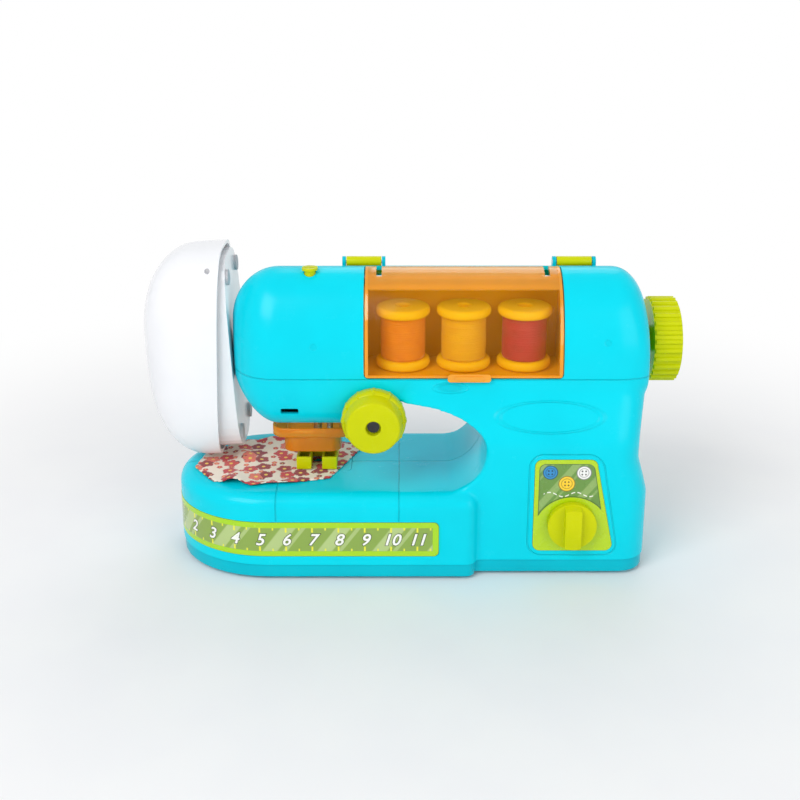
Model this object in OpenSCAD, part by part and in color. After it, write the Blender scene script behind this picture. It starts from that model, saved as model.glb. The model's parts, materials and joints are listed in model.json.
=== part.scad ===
// Toy sewing machine with a foot pedal, millimetres, +Z up, front towards -Y.
// The origin is on the table plane, under the middle of the base, on the plane
// where the front and rear shells meet.

/* [Base] */
// Length of the base
base_l = 272; // [262:1:290]
// Depth of the base
base_d = 97; // [94:0.5:104]
// Height of the sewing bed above the table
bed_h = 52; // [50:0.5:54]
// Length of the rounded left end of the base
base_nose_l = 56; // [46:1:64]
// Radius of the edge round the bed
bed_edge_r = 8; // [5:0.5:10]
// Distance from the middle to the right end of the bulged bed front
bed_bulge_x = 38; // [36:0.5:40]
// Plan radius at the right end of the bulged bed front
bed_bulge_r = 6; // [4:0.5:8]
// Wall of the shells
wall = 2.4; // [2:0.1:2.8]
// Height of the bottom plate's rim above the table
skirt_h = 10; // [9:0.5:12]
// Step of the bottom plate in from the shells
skirt_step = 0.8; // [0.4:0.1:1.2]
// Height of the rubber feet
foot_h = 2; // [1.5:0.1:3]
// Radius of the rubber feet
foot_r = 7; // [5:0.5:8]
// Floor of the bottom plate
plate_t = 2; // [1.6:0.1:2.4]

/* [Column and throat] */
// Half depth of the column behind the label
column_half_d = 42.5; // [40:0.5:45]
// Plan radius of the column's right corners
column_r = 16; // [10:1:20]
// Pinch of the column's right side under the arm
column_pinch = 5.5; // [2:0.5:6]
// Height where the column starts to slope back to the arm
column_slope_z = 76; // [74:1:80]
// Height where the slope meets the arm
column_top_z = 112; // [110:1:114]
// Radius of the throat's round end
throat_r = 25; // [23:0.5:26]
// Distance from the middle to the throat's centre
throat_x = 18; // [14:0.5:20]

/* [Arm and head] */
// Height of the arm's top
arm_top = 172; // [168:0.5:178]
// Depth of the arm
arm_d = 62; // [60:0.5:66]
// Height of the arm's underside at the throat
arm_bottom = 101.5; // [100.5:0.5:103]
// Height of the head's underside
head_bottom = 82; // [80:0.5:84]
// Height of the arm's widest line
shoulder_z = 118; // [116:0.5:119]
// Distance from the middle to the head's left end
head_x = 101.5; // [100:0.5:104]
// Length of the head's rounded left end
head_nose_l = 27; // [22:1:30]
// Distance from the middle to the arm's right end
arm_x = 135; // [132:0.5:136]
// Length of the arm's rounded right end
arm_end_l = 20; // [14:1:24]

/* [Spool bay and lid] */
// Distance from the middle to the lid's left edge
lid_left = 25; // [24:0.5:27]
// Distance from the middle to the lid's right edge
lid_right = 85; // [83:0.5:87]
// Height of the lid's lower edge
lid_z = 116; // [115:0.5:117]
// Wall of the lid
lid_t = 2; // [1.6:0.1:2.2]
// Largest opening angle of the lid
lid_open_deg = 100; // [80:1:105]
// Spool flange diameter
spool_d = 31; // [28:0.5:32]
// Spool height
spool_h = 36; // [34:0.5:37]
// Spool flange thickness
spool_flange_t = 5.5; // [4:0.5:6]
// Spool core diameter under the thread
spool_core_d = 21.8; // [19:0.2:22]
// Distance between spools
spool_pitch = 34.7; // [33:0.1:35]
// Diameter of the wound yarn
yarn_d = 1.8; // [1.2:0.1:1.8]
// Turns of yarn on a spool
yarn_turns = 10; // [6:1:10]

/* [Knobs] */
// Tension knob rim diameter
knob_d = 36.8; // [34:0.2:38]
// Tension knob cap diameter
knob_cap_d = 28; // [26:0.5:30]
// Tension knob height over the head's front
knob_h = 17; // [14:0.5:20]
// Tension knob rim thickness
knob_rim_t = 8; // [6:0.5:9]
// Ribs round the tension knob
knob_ribs = 22; // [16:1:26]
// Stitch dial diameter
dial_d = 27.5; // [26:0.5:31]
// Stitch dial height
dial_h = 8.5; // [8:0.5:12]
// Handwheel diameter
wheel_d = 50; // [46:0.5:52]
// Handwheel width
wheel_w = 16; // [13:0.5:18]
// Ribs round the handwheel
wheel_ribs = 28; // [20:1:32]

/* [Needle and drive] */
// Distance from the middle to the needle
needle_x = 54; // [53:0.5:55]
// Travel of the needle bar
needle_travel = 10; // [6:0.5:10]
// Lift of the presser foot
foot_lift = 5; // [3:0.5:5]
// Needle bar diameter
needle_bar_d = 5; // [4:0.1:5]
// Main shaft diameter
shaft_d = 5; // [4:0.1:5]
// Depth of the main shaft behind the parting plane
shaft_y = 16; // [15.5:0.1:16.5]
// Height of the main shaft
shaft_z = 124; // [123:0.5:125]
// Main pulley diameter at the belt
main_pulley_d = 15; // [12:0.5:15]
// Motor pulley diameter at the belt
motor_pulley_d = 6; // [5:0.5:7]
// Height of the motor shaft
motor_z = 62; // [58:1:66]
// Motor can diameter
motor_d = 24; // [20:0.5:25]

/* [Handle] */
// Distance between the middles of the handle's feet
handle_span = 121; // [118:1:122]
// Width of a handle foot
handle_foot_w = 20; // [16:0.5:21]
// Length of the handle from its hinge
handle_l = 26; // [22:0.5:28]
// Thickness of the handle
handle_t = 6; // [5:0.5:7]

/* [Foot pedal] */
// Length of the pedal
pedal_l = 126; // [120:1:130]
// Width of the pedal
pedal_w = 66; // [60:1:70]
// Height of the pedal base
pedal_base_h = 17; // [15:0.5:19]
// Height of the treadle dome above the base
pedal_dome_h = 36; // [30:0.5:38]
// Wall of the pedal shells
pedal_wall = 2; // [1.6:0.1:2.4]
// Swing of the treadle
treadle_deg = 6; // [4:0.5:6]

/* [Hidden] */
$fn = 64;

// Shared clearances and cutting allowances
gap = 0.3;
fit = 0.2;
run_fit = 0.06;
over = 1;
reach = 400;
round_fn = 32;

// Forms of the body
base_x0 = -base_l / 2;
base_x1 = base_l / 2;
base_half_d = base_d / 2;
arm_half = arm_d / 2;
nose_rise = 23;
nose_drop = 8;
nose_high_z = shoulder_z + nose_rise;
nose_low_z = shoulder_z - nose_drop;
arm_end_drop = 31;
arm_end_taper = 9;
knob_from_needle = 34;
step_from_knob = 6;
nx = -needle_x;
knob_x = nx + knob_from_needle;
head_step_x0 = knob_x + step_from_knob;
head_step_l = 14;
box_power = 3.2;
section_steps = 12;
nose_shares = [0.03, 0.12, 0.28, 0.5, 0.75, 1];
step_shares = [0, 0.35, 0.65, 1];
end_shares = [1, 0.75, 0.45, 0.2, 0.04];
slope_shares = [0, 0.2, 0.4, 0.6, 0.8, 1];
edge_degs = [0, 30, 60, 90];
column_lap = 7;
column_top_in = 5;
column_top_pinch = 1.5;
plinth_drop = 4;
cheek_drop = 8;
plinth_z = bed_h - plinth_drop;
cheek_z = column_slope_z - cheek_drop;
throat_z = arm_bottom - throat_r;

function ease(t) = sqrt(1 - (1 - t) * (1 - t));
function settle(t) = 1 - (1 - t) * (1 - t);
function smooth(t) = t * t * (3 - 2 * t);
function sgn(v) = v < 0 ? -1 : 1;
function boxy(v) = sgn(v) * pow(abs(v), 2 / box_power);

// One station of the arm: place, top, underside and half depth
function nose_station(t) = [
  -head_x + head_nose_l * t,
  nose_high_z + (arm_top - nose_high_z) * ease(t),
  nose_low_z - (nose_low_z - head_bottom) * settle(t),
  arm_half * ease(t)];
function step_station(t) = [
  head_step_x0 + head_step_l * t,
  arm_top,
  head_bottom + (arm_bottom - head_bottom) * smooth(t),
  arm_half];
function end_station(t) = [
  arm_x - arm_end_l * t,
  arm_top - arm_end_drop * (1 - ease(t)),
  arm_bottom,
  arm_half - arm_end_taper * (1 - ease(t))];
arm_stations = concat(
  [for (t = nose_shares) nose_station(t)],
  [for (t = step_shares) step_station(t)],
  [for (t = end_shares) end_station(t)]);

// The arm's section: an elliptical top over a boxy lower half
function arm_section(half, top, bottom) = concat(
  [for (i = [0 : section_steps])
    let (a = 180 * i / section_steps)
    [half * cos(a), shoulder_z + (top - shoulder_z) * sin(a)]],
  [for (i = [1 : section_steps - 1])
    let (a = 180 + 180 * i / section_steps)
    [half * boxy(cos(a)), shoulder_z + (shoulder_z - bottom) * boxy(sin(a))]]);

module across(x, pts, t) {
  translate([x, 0, 0])
    rotate([90, 0, 90])
      linear_extrude(height = t)
        polygon(pts);
}

// The solid between two rings of points
module between(a, b) {
  hull()
    polyhedron(
      points = concat(a, b),
      faces = [[for (i = [0 : len(a) - 1]) i], [for (i = [0 : len(b) - 1]) len(a) + i]]);
}

function arm_ring(s, inset) =
  let (shift = s[0] < head_step_x0 ? inset : s[0] > head_step_x0 + head_step_l ? -inset : 0)
  [for (p = arm_section(s[3] - inset, s[1] - inset, s[2] + inset)) [s[0] + shift, p[0], p[1]]];

module arm_form(inset) {
  for (i = [0 : len(arm_stations) - 2])
    between(arm_ring(arm_stations[i], inset), arm_ring(arm_stations[i + 1], inset));
}

// Plan outlines, wound anticlockwise from the right rear corner
plan_steps = 5;
nose_steps = 20;
function corner(x, y, r, a0) = [for (i = [0 : plan_steps])
  let (a = a0 + 90 * i / plan_steps) [x + r * cos(a), y + r * sin(a)]];
function base_plan(inset) = concat(
  corner(bed_bulge_x - bed_bulge_r, base_half_d - bed_bulge_r, bed_bulge_r - inset, 0),
  [for (i = [0 : nose_steps])
    let (a = 90 + 180 * i / nose_steps)
    [base_x0 + base_nose_l + (base_nose_l - inset) * cos(a),
     (base_half_d - inset) * sin(a)]],
  corner(bed_bulge_x - bed_bulge_r, bed_bulge_r - base_half_d, bed_bulge_r - inset, 270));
function column_plan(half, inset, pinch = 0) = concat(
  corner(base_x1 - pinch - column_r, half - column_r, column_r - inset, 0),
  [[throat_x + inset, half - inset], [throat_x + inset, inset - half]],
  corner(base_x1 - pinch - column_r, column_r - half, column_r - inset, 270));

function level(z, pts) = [for (p = pts) [p[0], p[1], z]];

function edge_ring(a, inset) =
  let (r = bed_edge_r - inset)
  level(bed_h - bed_edge_r + r * sin(a), base_plan(inset + r * (1 - cos(a))));

module base_form(inset, z0) {
  between(level(z0, base_plan(inset)), edge_ring(0, inset));
  for (i = [0 : len(edge_degs) - 2])
    between(edge_ring(edge_degs[i], inset), edge_ring(edge_degs[i + 1], inset));
}

// One station of the column: height, half depth and pinch of its right side
function slope_station(t) = [
  column_slope_z + (column_top_z - column_slope_z) * t,
  column_half_d - (column_half_d - arm_half) * smooth(t),
  column_pinch - (column_pinch - column_top_pinch) * smooth(t)];
column_stations = concat(
  [[plinth_z, column_half_d, 0], [cheek_z, column_half_d, column_pinch]],
  [for (t = slope_shares) slope_station(t)],
  [[column_top_z + column_lap, arm_half - column_top_in, column_top_pinch + column_top_in]]);

function column_ring(s, inset) = level(s[0], column_plan(s[1], inset, s[2]));

module column_form(inset, z0) {
  difference() {
    union() {
      between(level(z0, column_plan(column_half_d, inset)), column_ring(column_stations[0], inset));
      for (i = [0 : len(column_stations) - 2])
        between(column_ring(column_stations[i], inset), column_ring(column_stations[i + 1], inset));
    }
    translate([throat_x, reach, throat_z])
      rotate([90, 0, 0])
        cylinder(h = 2 * reach, r = throat_r + inset);
  }
}

module body_form(inset, z0) {
  arm_form(inset);
  base_form(inset, z0);
  column_form(inset, z0);
}

// A block given by its least and greatest corners
module block(a, b) {
  translate(a)
    cube(b - a);
}

// A rod along X, Y or Z from a starting point
module rod_x(p, l, d) {
  translate(p)
    rotate([0, 90, 0])
      cylinder(h = l, d = d);
}

module rod_y(p, l, d) {
  translate(p)
    rotate([-90, 0, 0])
      cylinder(h = l, d = d);
}

module rod_z(p, l, d) {
  translate(p)
    cylinder(h = l, d = d);
}

// A rounded rectangle about a centre, as points
function rounded(x, y, w, d, r) = concat(
  corner(x + w / 2 - r, y + d / 2 - r, r, 0),
  corner(x - w / 2 + r, y + d / 2 - r, r, 90),
  corner(x - w / 2 + r, y - d / 2 + r, r, 180),
  corner(x + w / 2 - r, y - d / 2 + r, r, 270));

// Screws that join the shells: place across and height
screw_d = 3;
screw_head_d = 6;
screw_head_h = 2.4;
screw_seat_y = 12;
boss_d = 9;
boss_fn = 20;
head_screw_in = 17.5;
head_screw_rise = 22;
arm_screw_in = 17;
arm_screw_rise = 32;
plinth_screw_in = 12;
plinth_screw_rise = 16;
nose_screw_in = 32;
bed_screw_in = 30;
bed_screw_rise = 18;
screw_places = [
  [-head_x + head_screw_in, shoulder_z + head_screw_rise],
  [arm_x - arm_screw_in, shoulder_z + arm_screw_rise],
  [base_x1 - plinth_screw_in, skirt_h + plinth_screw_rise],
  [base_x0 + nose_screw_in, skirt_h + bed_screw_rise],
  [bed_bulge_x - bed_screw_in, skirt_h + bed_screw_rise]];

// Needle opening, needle plate and thread slot
guard_shift = 2;
guard_x = nx - guard_shift;
head_open_w = 28;
head_open_d = 20;
plate_w = 44;
plate_d = 28;
plate_r = 4;
needle_plate_t = 1.6;
plate_hole_w = 30;
plate_hole_d = 14;
slot_from_needle = 13.5;
slot_rise = 13.4;
slot_depth = 11;
slot_x = nx - slot_from_needle;
slot_z = head_bottom + slot_rise;
slot_w = 10;
slot_h = 3.6;
slot_front_y = slot_depth - arm_half;

// Label and ruler
dial_in = 44.5;
dial_rise = 23;
dial_x = base_x1 - dial_in;
dial_z = skirt_h + dial_rise;
label_left = 21.5;
label_right = 23.5;
label_top_right = 13.5;
label_rise = 6;
label_drop = 4;
label_x0 = dial_x - label_left;
label_x1 = dial_x + label_right;
label_top_x1 = dial_x + label_top_right;
label_z0 = skirt_h + label_rise;
label_z1 = column_slope_z - label_drop;
label_r = 4;
label_t = 1.2;
label_sink = 1;
ruler_rise = 5.5;
ruler_drop = 15.5;
ruler_in = 21.5;
ruler_end_y = 3;
ruler_z0 = skirt_h + ruler_rise;
ruler_z1 = bed_h - ruler_drop;
ruler_x1 = bed_bulge_x - ruler_in;
ruler_t = 1;
ruler_sink = 1;
ruler_bed_gap = 0.15;
function label_points(o) = concat(
  corner(label_x1 - label_r, label_z0 + label_r, label_r + o, 270),
  corner(label_top_x1 - label_r, label_z1 - label_r, label_r + o, 0),
  corner(label_x0 + label_r, label_z1 - label_r, label_r + o, 90),
  corner(label_x0 + label_r, label_z0 + label_r, label_r + o, 180));

// Places of the turning parts on the front
knob_rise = 11;
knob_clear = 0.5;
knob_z = head_bottom + knob_rise;
knob_back_y = -arm_half - knob_clear;
knob_bore_d = 6;
knob_hole_d = 6.4;
dial_shaft_d = 8;
dial_hole_d = 10;
guide_shift = 2;
guide_y = -7;
guide_x = nx - guide_shift;
guide_d = 6.4;
guide_hole_d = 7;
guide_sink = 8;
guide_z0 = arm_top - guide_sink;

// Lid hinge and handle hinge
hinge_y = -3;
hinge_drop = 5.5;
hinge_z = arm_top - hinge_drop;
hinge_pin_d = 2.2;
knuckle_d = 4.4;
knuckle_w = 6;
notch_y = 4.3;
notch_drop = 10;
notch_z = arm_top - notch_drop;
lid_rear_y = 1.5;
handle_shift = 4.3;
handle_mid_x = (lid_right - lid_left) / 2 + handle_shift;
handle_y = 12;
handle_z = arm_top;
handle_rest_deg = 38;
pocket_y0 = 6;
pocket_y1 = 18;
pocket_drop = 14;
pocket_z = arm_top - pocket_drop;
pocket_side = 3;

// Lifter
lifter_from_needle = 18;
lifter_rise = 15;
lifter_x = nx - lifter_from_needle;
lifter_z = head_bottom + lifter_rise;
lifter_shaft_d = 5;

bush_d = 11;

module bosses(y0, y1, d) {
  for (p = screw_places)
    rod_y([p[0], y0, p[1]], y1 - y0, d);
}

module needle_opening() {
  block([guard_x - head_open_w / 2, -head_open_d / 2, head_bottom - over],
    [guard_x + head_open_w / 2, head_open_d / 2, head_bottom + 2 * wall]);
  translate([0, 0, bed_h - needle_plate_t - gap])
    linear_extrude(height = needle_plate_t + gap + over)
      polygon(rounded(guard_x, 0, plate_w + 2 * fit, plate_d + 2 * fit, plate_r + fit));
  block([guard_x - plate_hole_w / 2, -plate_hole_d / 2, bed_h - 2 * wall],
    [guard_x + plate_hole_w / 2, plate_hole_d / 2, bed_h]);
}

module shell(side) {
  y0 = side < 0 ? -reach : 0;
  y1 = side < 0 ? 0 : reach;
  difference() {
    union() {
      difference() {
        intersection() {
          body_form(0, skirt_h);
          block([-reach, y0, skirt_h], [reach, y1, reach]);
        }
        body_form(wall, skirt_h - over);
      }
      intersection() {
        body_form(wall / 2, skirt_h);
        bosses(max(y0, -base_d), min(y1, base_d), boss_d, $fn = boss_fn);
      }
    }
    needle_opening();
  }
}

module front_shell() {
  color([0, 0.8, 0.87])
    difference() {
      shell(-1);
      block([-lid_left - gap, -reach, lid_z - gap], [lid_right + gap, over, reach]);
      block([slot_x - slot_w / 2, -reach, slot_z - slot_h / 2],
        [slot_x + slot_w / 2, slot_front_y, slot_z + slot_h / 2]);
      rod_y([knob_x, -reach, knob_z], reach, knob_hole_d);
      rod_y([dial_x, -reach, dial_z], reach, dial_hole_d);
      rod_z([guide_x, guide_y, guide_z0], reach, guide_hole_d);
      bosses(-screw_seat_y - screw_d, over, screw_d + fit, $fn = boss_fn);
      translate([0, label_sink - column_half_d, 0])
        rotate([90, 0, 0])
          linear_extrude(height = reach)
            polygon(label_points(fit));
      translate([0, 0, ruler_z0 - fit])
        linear_extrude(height = ruler_z1 - ruler_z0 + 2 * fit)
          intersection() {
            difference() {
              polygon(base_plan(-over));
              polygon(base_plan(ruler_sink));
            }
            translate([ruler_x1 + fit - reach, -reach - ruler_end_y + fit])
              square([reach, reach]);
          }
    }
}

module rear_shell() {
  color([0, 0.8, 0.87])
    difference() {
      shell(1);
      block([-lid_left - gap, -over, notch_z], [lid_right + gap, notch_y, reach]);
      for (s = [-1, 1])
        block([handle_mid_x + s * handle_span / 2 - handle_foot_w / 2 - pocket_side, pocket_y0, pocket_z],
          [handle_mid_x + s * handle_span / 2 + handle_foot_w / 2 + pocket_side, pocket_y1, reach]);
      rod_x([arm_x - arm_end_l, shaft_y, shaft_z], reach, bush_d + 2 * fit);
      rod_y([lifter_x, 0, lifter_z], reach, lifter_shaft_d + 2 * fit);
      bosses(-over, screw_seat_y + over, screw_d + 2 * fit, $fn = boss_fn);
      bosses(screw_seat_y, base_d, screw_head_d + 2 * fit, $fn = boss_fn);
    }
}

module case_screws() {
  color([0.75, 0.76, 0.78]) {
    bosses(-screw_seat_y, screw_seat_y + screw_head_h / 2, screw_d);
    bosses(screw_seat_y, screw_seat_y + screw_head_h, screw_head_d);
  }
}
rim_t = 2;
foot_in_x = 22;
foot_in_y = 22;
foot_left_x = 46;

// Bottom plate, feet and battery case
cell_from_needle = 10;
cell_x = nx + cell_from_needle;
cell_w = 58;
cell_d = 62;
cell_h = 20;
cell_wall = 2;
door_w = 52;
door_d = 56;
door_tab = 0.6;
door_tab_t = 1.2;
door_tab_w = 12;
door_screw_y = 24;
door_screw_d = 2.5;
door_head_d = 5;
door_head_t = 1;
door_boss_d = 6;
door_screw_l = 12;
contact_t = 0.5;
contact_w = 9;
contact_h = 9;
contact_pitch = 14.5;
contact_z = 3;
floor_z = foot_h + plate_t;

module plan_2d(inset) {
  polygon(base_plan(inset));
  polygon(column_plan(column_half_d, inset));
}

module base_plate() {
  color([0, 0.66, 0.74])
    difference() {
      translate([0, 0, foot_h])
        linear_extrude(height = skirt_h - foot_h)
          plan_2d(skirt_step);
      translate([0, 0, floor_z])
        linear_extrude(height = skirt_h)
          plan_2d(skirt_step + rim_t);
      block([cell_x - door_w / 2, -door_d / 2, 0], [cell_x + door_w / 2, door_d / 2, skirt_h]);
    }
}

module rubber_feet() {
  color([0.12, 0.12, 0.13])
    for (s = [-1, 1]) {
      rod_z([base_x1 - foot_in_x, s * (column_half_d - foot_in_y), 0], foot_h, 2 * foot_r);
      rod_z([base_x0 + foot_left_x, s * (column_half_d - foot_in_y), 0], foot_h, 2 * foot_r);
      if (s > 0)
        rod_z([0, 0, 0], foot_h, 2 * foot_r);
    }
}

module battery_door() {
  color([0, 0.66, 0.74])
    difference() {
      union() {
        block([cell_x - door_w / 2 + gap, gap - door_d / 2, foot_h],
          [cell_x + door_w / 2 - gap, door_d / 2 - gap, floor_z]);
        block([cell_x - door_w / 2 - door_tab, -door_tab_w / 2, floor_z],
          [cell_x + door_w / 2 + door_tab, door_tab_w / 2, floor_z + door_tab_t]);
      }
      rod_z([cell_x, door_screw_y, 0], skirt_h, door_screw_d + 2 * fit);
      rod_z([cell_x, door_screw_y, 0], foot_h + door_head_t, door_head_d + 2 * fit);
    }
}

module door_screw() {
  color([0.75, 0.76, 0.78]) {
    rod_z([cell_x, door_screw_y, foot_h], door_head_t, door_head_d);
    rod_z([cell_x, door_screw_y, foot_h], door_screw_l, door_screw_d);
  }
}

module battery_box() {
  color([0.2, 0.2, 0.22])
    difference() {
      union() {
        difference() {
          block([cell_x - cell_w / 2, -cell_d / 2, floor_z], [cell_x + cell_w / 2, cell_d / 2, floor_z + cell_h]);
          block([cell_x - cell_w / 2 + cell_wall, cell_wall - cell_d / 2, 0],
            [cell_x + cell_w / 2 - cell_wall, cell_d / 2 - cell_wall, floor_z + cell_h - cell_wall]);
        }
        rod_z([cell_x, door_screw_y, floor_z + gap], cell_h - cell_wall, door_boss_d);
      }
      rod_z([cell_x, door_screw_y, 0], door_screw_l + foot_h + over, door_screw_d + fit);
    }
}

module battery_contacts() {
  color([0.8, 0.8, 0.78])
    for (s = [-1, 1], i = [-1, 0, 1]) {
      x = cell_x + s * (cell_w / 2 - cell_wall - contact_t / 2);
      y = i * contact_pitch - contact_z;
      block([x - contact_t / 2, y - contact_w / 2, floor_z + contact_z],
        [x + contact_t / 2, y + contact_w / 2, floor_z + contact_z + contact_h]);
    }
}

// Spool bay
tray_t = 1.6;
tray_out = 1;
spool_from_front = 10.5;
spool_back_gap = 0.5;
tray_front_gap = 1.1;
tray_drop = 14;
spool_y = spool_d / 2 + spool_from_front - arm_half;
tray_back_y = spool_y + spool_d / 2 + spool_back_gap;
tray_front_y = wall + tray_front_gap - arm_half;
tray_top_z = arm_top - tray_drop;
tray_z = lid_z - tray_t - gap - over;
spool_floor_z = tray_z + tray_t;
spool_shift = 1;
spool_x = (lid_right - lid_left) / 2 + spool_shift;
post_d = 7;
post_short = 3;
post_h = spool_h - post_short;
spool_bore_d = 7.6;
spool_z = spool_floor_z + fit;
flange_bevel = 1.2;
tab_left = 10;
tab_x0 = spool_x - tab_left;
tab_w = 24;
tab_drop = 1.6;
tab_rise = 3;
tab_t = 1.8;
lid_slot_w = 3;
lid_slot_y = -10;
lid_steps = 20;
lid_rear_deg = acos(lid_rear_y / arm_half);

module tray_side(x) {
  difference() {
    intersection() {
      across(x, arm_section(arm_half - wall - gap, arm_top - wall - gap, arm_bottom), tray_t);
      block([-reach, tray_front_y, tray_z], [reach, tray_back_y + tray_t, reach]);
    }
    rod_x([x - over, hinge_y, hinge_z], tray_t + 2 * over, hinge_pin_d + 2 * run_fit);
    block([x - over, pocket_y0 - gap, tray_top_z], [x + tray_t + over, reach, reach]);
  }
}

module spool_tray() {
  x0 = -lid_left - tray_out - tray_t;
  x1 = lid_right + tray_out;
  color([0.98, 0.8, 0.05]) {
    tray_side(x0);
    tray_side(x1);
    block([x0, tray_front_y, tray_z], [x1 + tray_t, tray_back_y + tray_t, spool_floor_z]);
    block([x0, tray_back_y, tray_z], [x1 + tray_t, tray_back_y + tray_t, tray_top_z]);
  }
}

module spool_posts() {
  color([0.98, 0.8, 0.05])
    for (i = [-1, 0, 1])
      rod_z([spool_x + i * spool_pitch, spool_y, spool_floor_z], post_h, post_d);
}

module spool(i) {
  r = spool_d / 2;
  f = spool_flange_t;
  b = flange_bevel;
  translate([spool_x + i * spool_pitch, spool_y, spool_z])
    rotate_extrude()
      polygon([
        [spool_bore_d / 2, 0], [r - b, 0], [r, b], [r, f - b], [r - b, f],
        [spool_core_d / 2, f], [spool_core_d / 2, spool_h - f],
        [r - b, spool_h - f], [r, spool_h - f + b], [r, spool_h - b],
        [r - b, spool_h], [spool_bore_d / 2, spool_h]]);
}

module spool_left() {
  color([0.98, 0.85, 0.05]) spool(-1);
}

module spool_middle() {
  color([0.98, 0.85, 0.05]) spool(0);
}

module spool_right() {
  color([0.98, 0.85, 0.05]) spool(1);
}

// One unbroken tube wound round a spool
yarn_rings = 16;
yarn_sides = 6;
function yarn_point(k, j) =
  let (a = 360 * k / yarn_rings,
       rise = (spool_h - 2 * spool_flange_t - yarn_d - 2 * fit) / (yarn_turns * yarn_rings),
       c = 360 * j / yarn_sides,
       rr = spool_core_d / 2 + fit + yarn_d / 2 + yarn_d / 2 * cos(c))
  [rr * cos(a), rr * sin(a),
   spool_flange_t + fit + yarn_d / 2 + rise * k + yarn_d / 2 * sin(c)];

module yarn(i) {
  n = yarn_turns * yarn_rings;
  s = yarn_sides;
  translate([spool_x + i * spool_pitch, spool_y, spool_z])
    polyhedron(
      points = [for (k = [0 : n], j = [0 : s - 1]) yarn_point(k, j)],
      faces = concat(
        [[for (j = [0 : s - 1]) j]],
        [for (k = [0 : n - 1], j = [0 : s - 1])
          [k * s + j, k * s + s + j, k * s + s + (j + 1) % s, k * s + (j + 1) % s]],
        [[for (j = [s - 1 : -1 : 0]) n * s + j]]));
}

module yarn_left() {
  color([0.95, 0.35, 0.05]) yarn(-1);
}

module yarn_middle() {
  color([0.98, 0.8, 0.1]) yarn(0);
}

module yarn_right() {
  color([0.75, 0.05, 0.15]) yarn(1);
}

function lid_arc(o, a0) = [for (i = [0 : lid_steps])
  let (a = a0 + (180 - a0) * i / lid_steps)
  [(arm_half - o) * cos(a), shoulder_z + (arm_top - o - shoulder_z) * sin(a)]];
function reversed(v) = [for (i = [len(v) - 1 : -1 : 0]) v[i]];

module lid_knuckle(x) {
  rod_x([x, hinge_y, hinge_z], knuckle_w, knuckle_d);
  block([x, hinge_y - knuckle_d / 2, hinge_z],
    [x + knuckle_w, hinge_y + knuckle_d / 2, arm_top - lid_t]);
}

module spool_lid() {
  profile = concat(
    lid_arc(0, lid_rear_deg),
    [[-arm_half, lid_z], [lid_t - arm_half, lid_z]],
    reversed(lid_arc(lid_t, lid_rear_deg)));
  color([0.95, 0.62, 0.05, 0.6])
    difference() {
      union() {
        across(-lid_left, profile, lid_left + lid_right);
        lid_knuckle(-lid_left);
        lid_knuckle(lid_right - knuckle_w);
        block([tab_x0, -arm_half - gap - tab_t, lid_z - tab_drop],
          [tab_x0 + tab_w, -arm_half - gap, lid_z + tab_rise]);
        block([tab_x0, -arm_half - gap - tab_t, lid_z],
          [tab_x0 + tab_w, lid_t / 2 - arm_half, lid_z + tab_rise]);
      }
      rod_x([-reach, hinge_y, hinge_z], 2 * reach, hinge_pin_d + 2 * run_fit);
      block([gap + knuckle_w - lid_left, lid_slot_y, notch_z],
        [gap + knuckle_w + lid_slot_w - lid_left, reach, reach]);
      block([lid_right - knuckle_w - lid_slot_w - gap, lid_slot_y, notch_z],
        [lid_right - knuckle_w - gap, reach, reach]);
    }
}

module lid_pin() {
  color([0.8, 0.8, 0.82])
    rod_x([-lid_left - tray_out - tray_t, hinge_y, hinge_z],
      lid_left + lid_right + 2 * (tray_out + tray_t), hinge_pin_d);
}

// Labels and thread guide
module label_plate() {
  color([0.7, 0.85, 0.05])
    difference() {
      translate([0, label_sink - column_half_d, 0])
        rotate([90, 0, 0])
          linear_extrude(height = label_t)
            polygon(label_points(0));
      rod_y([dial_x, -reach, dial_z], reach, dial_hole_d);
    }
}

module ruler_plate() {
  color([0.7, 0.85, 0.05])
    translate([0, 0, ruler_z0])
      linear_extrude(height = ruler_z1 - ruler_z0)
        intersection() {
          difference() {
            polygon(base_plan(ruler_sink - ruler_bed_gap - ruler_t));
            polygon(base_plan(ruler_sink - ruler_bed_gap));
          }
          translate([ruler_x1 - reach, -reach - ruler_end_y])
            square([reach, reach]);
        }
}

guide_rise = 1.5;
guide_top_z = arm_top + guide_rise;
guide_cap_d = 9;
guide_cap_t = 1.5;
guide_slot_w = 2;
module thread_guide() {
  color([0.84, 0.87, 0.05])
    difference() {
      union() {
        rod_z([guide_x, guide_y, guide_z0], guide_top_z - guide_z0, guide_d);
        rod_z([guide_x, guide_y, guide_top_z - guide_cap_t], guide_cap_t, guide_cap_d);
      }
      block([guide_x - guide_d, guide_y - guide_slot_w / 2, guide_top_z - 2 * guide_cap_t],
        [guide_x + guide_d, guide_y + guide_slot_w / 2, guide_top_z + over]);
    }
}

// Tension knob on its post
post_in = 13.5;
post_out = 11.5;
post_back_y = knob_back_y + post_in;
post_end_y = knob_back_y - post_out;
knob_collar_d = 12;
knob_collar_t = 1.2;
knob_recess_d = 8.4;
knob_screw_d = 6.6;
knob_screw_h = 2.6;
knob_rib_d = 2.6;
rib_in = 0.6;
knob_neck_d = 33;

module tension_post() {
  color([0.8, 0.8, 0.82]) {
    rod_y([knob_x, post_end_y, knob_z], post_back_y - post_end_y, knob_bore_d);
    rod_y([knob_x, knob_back_y + gap, knob_z], knob_collar_t, knob_collar_d);
  }
}

module knob_screw() {
  color([0.8, 0.8, 0.82])
    rod_y([knob_x, post_end_y - knob_screw_h, knob_z], knob_screw_h, knob_screw_d);
}

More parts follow.
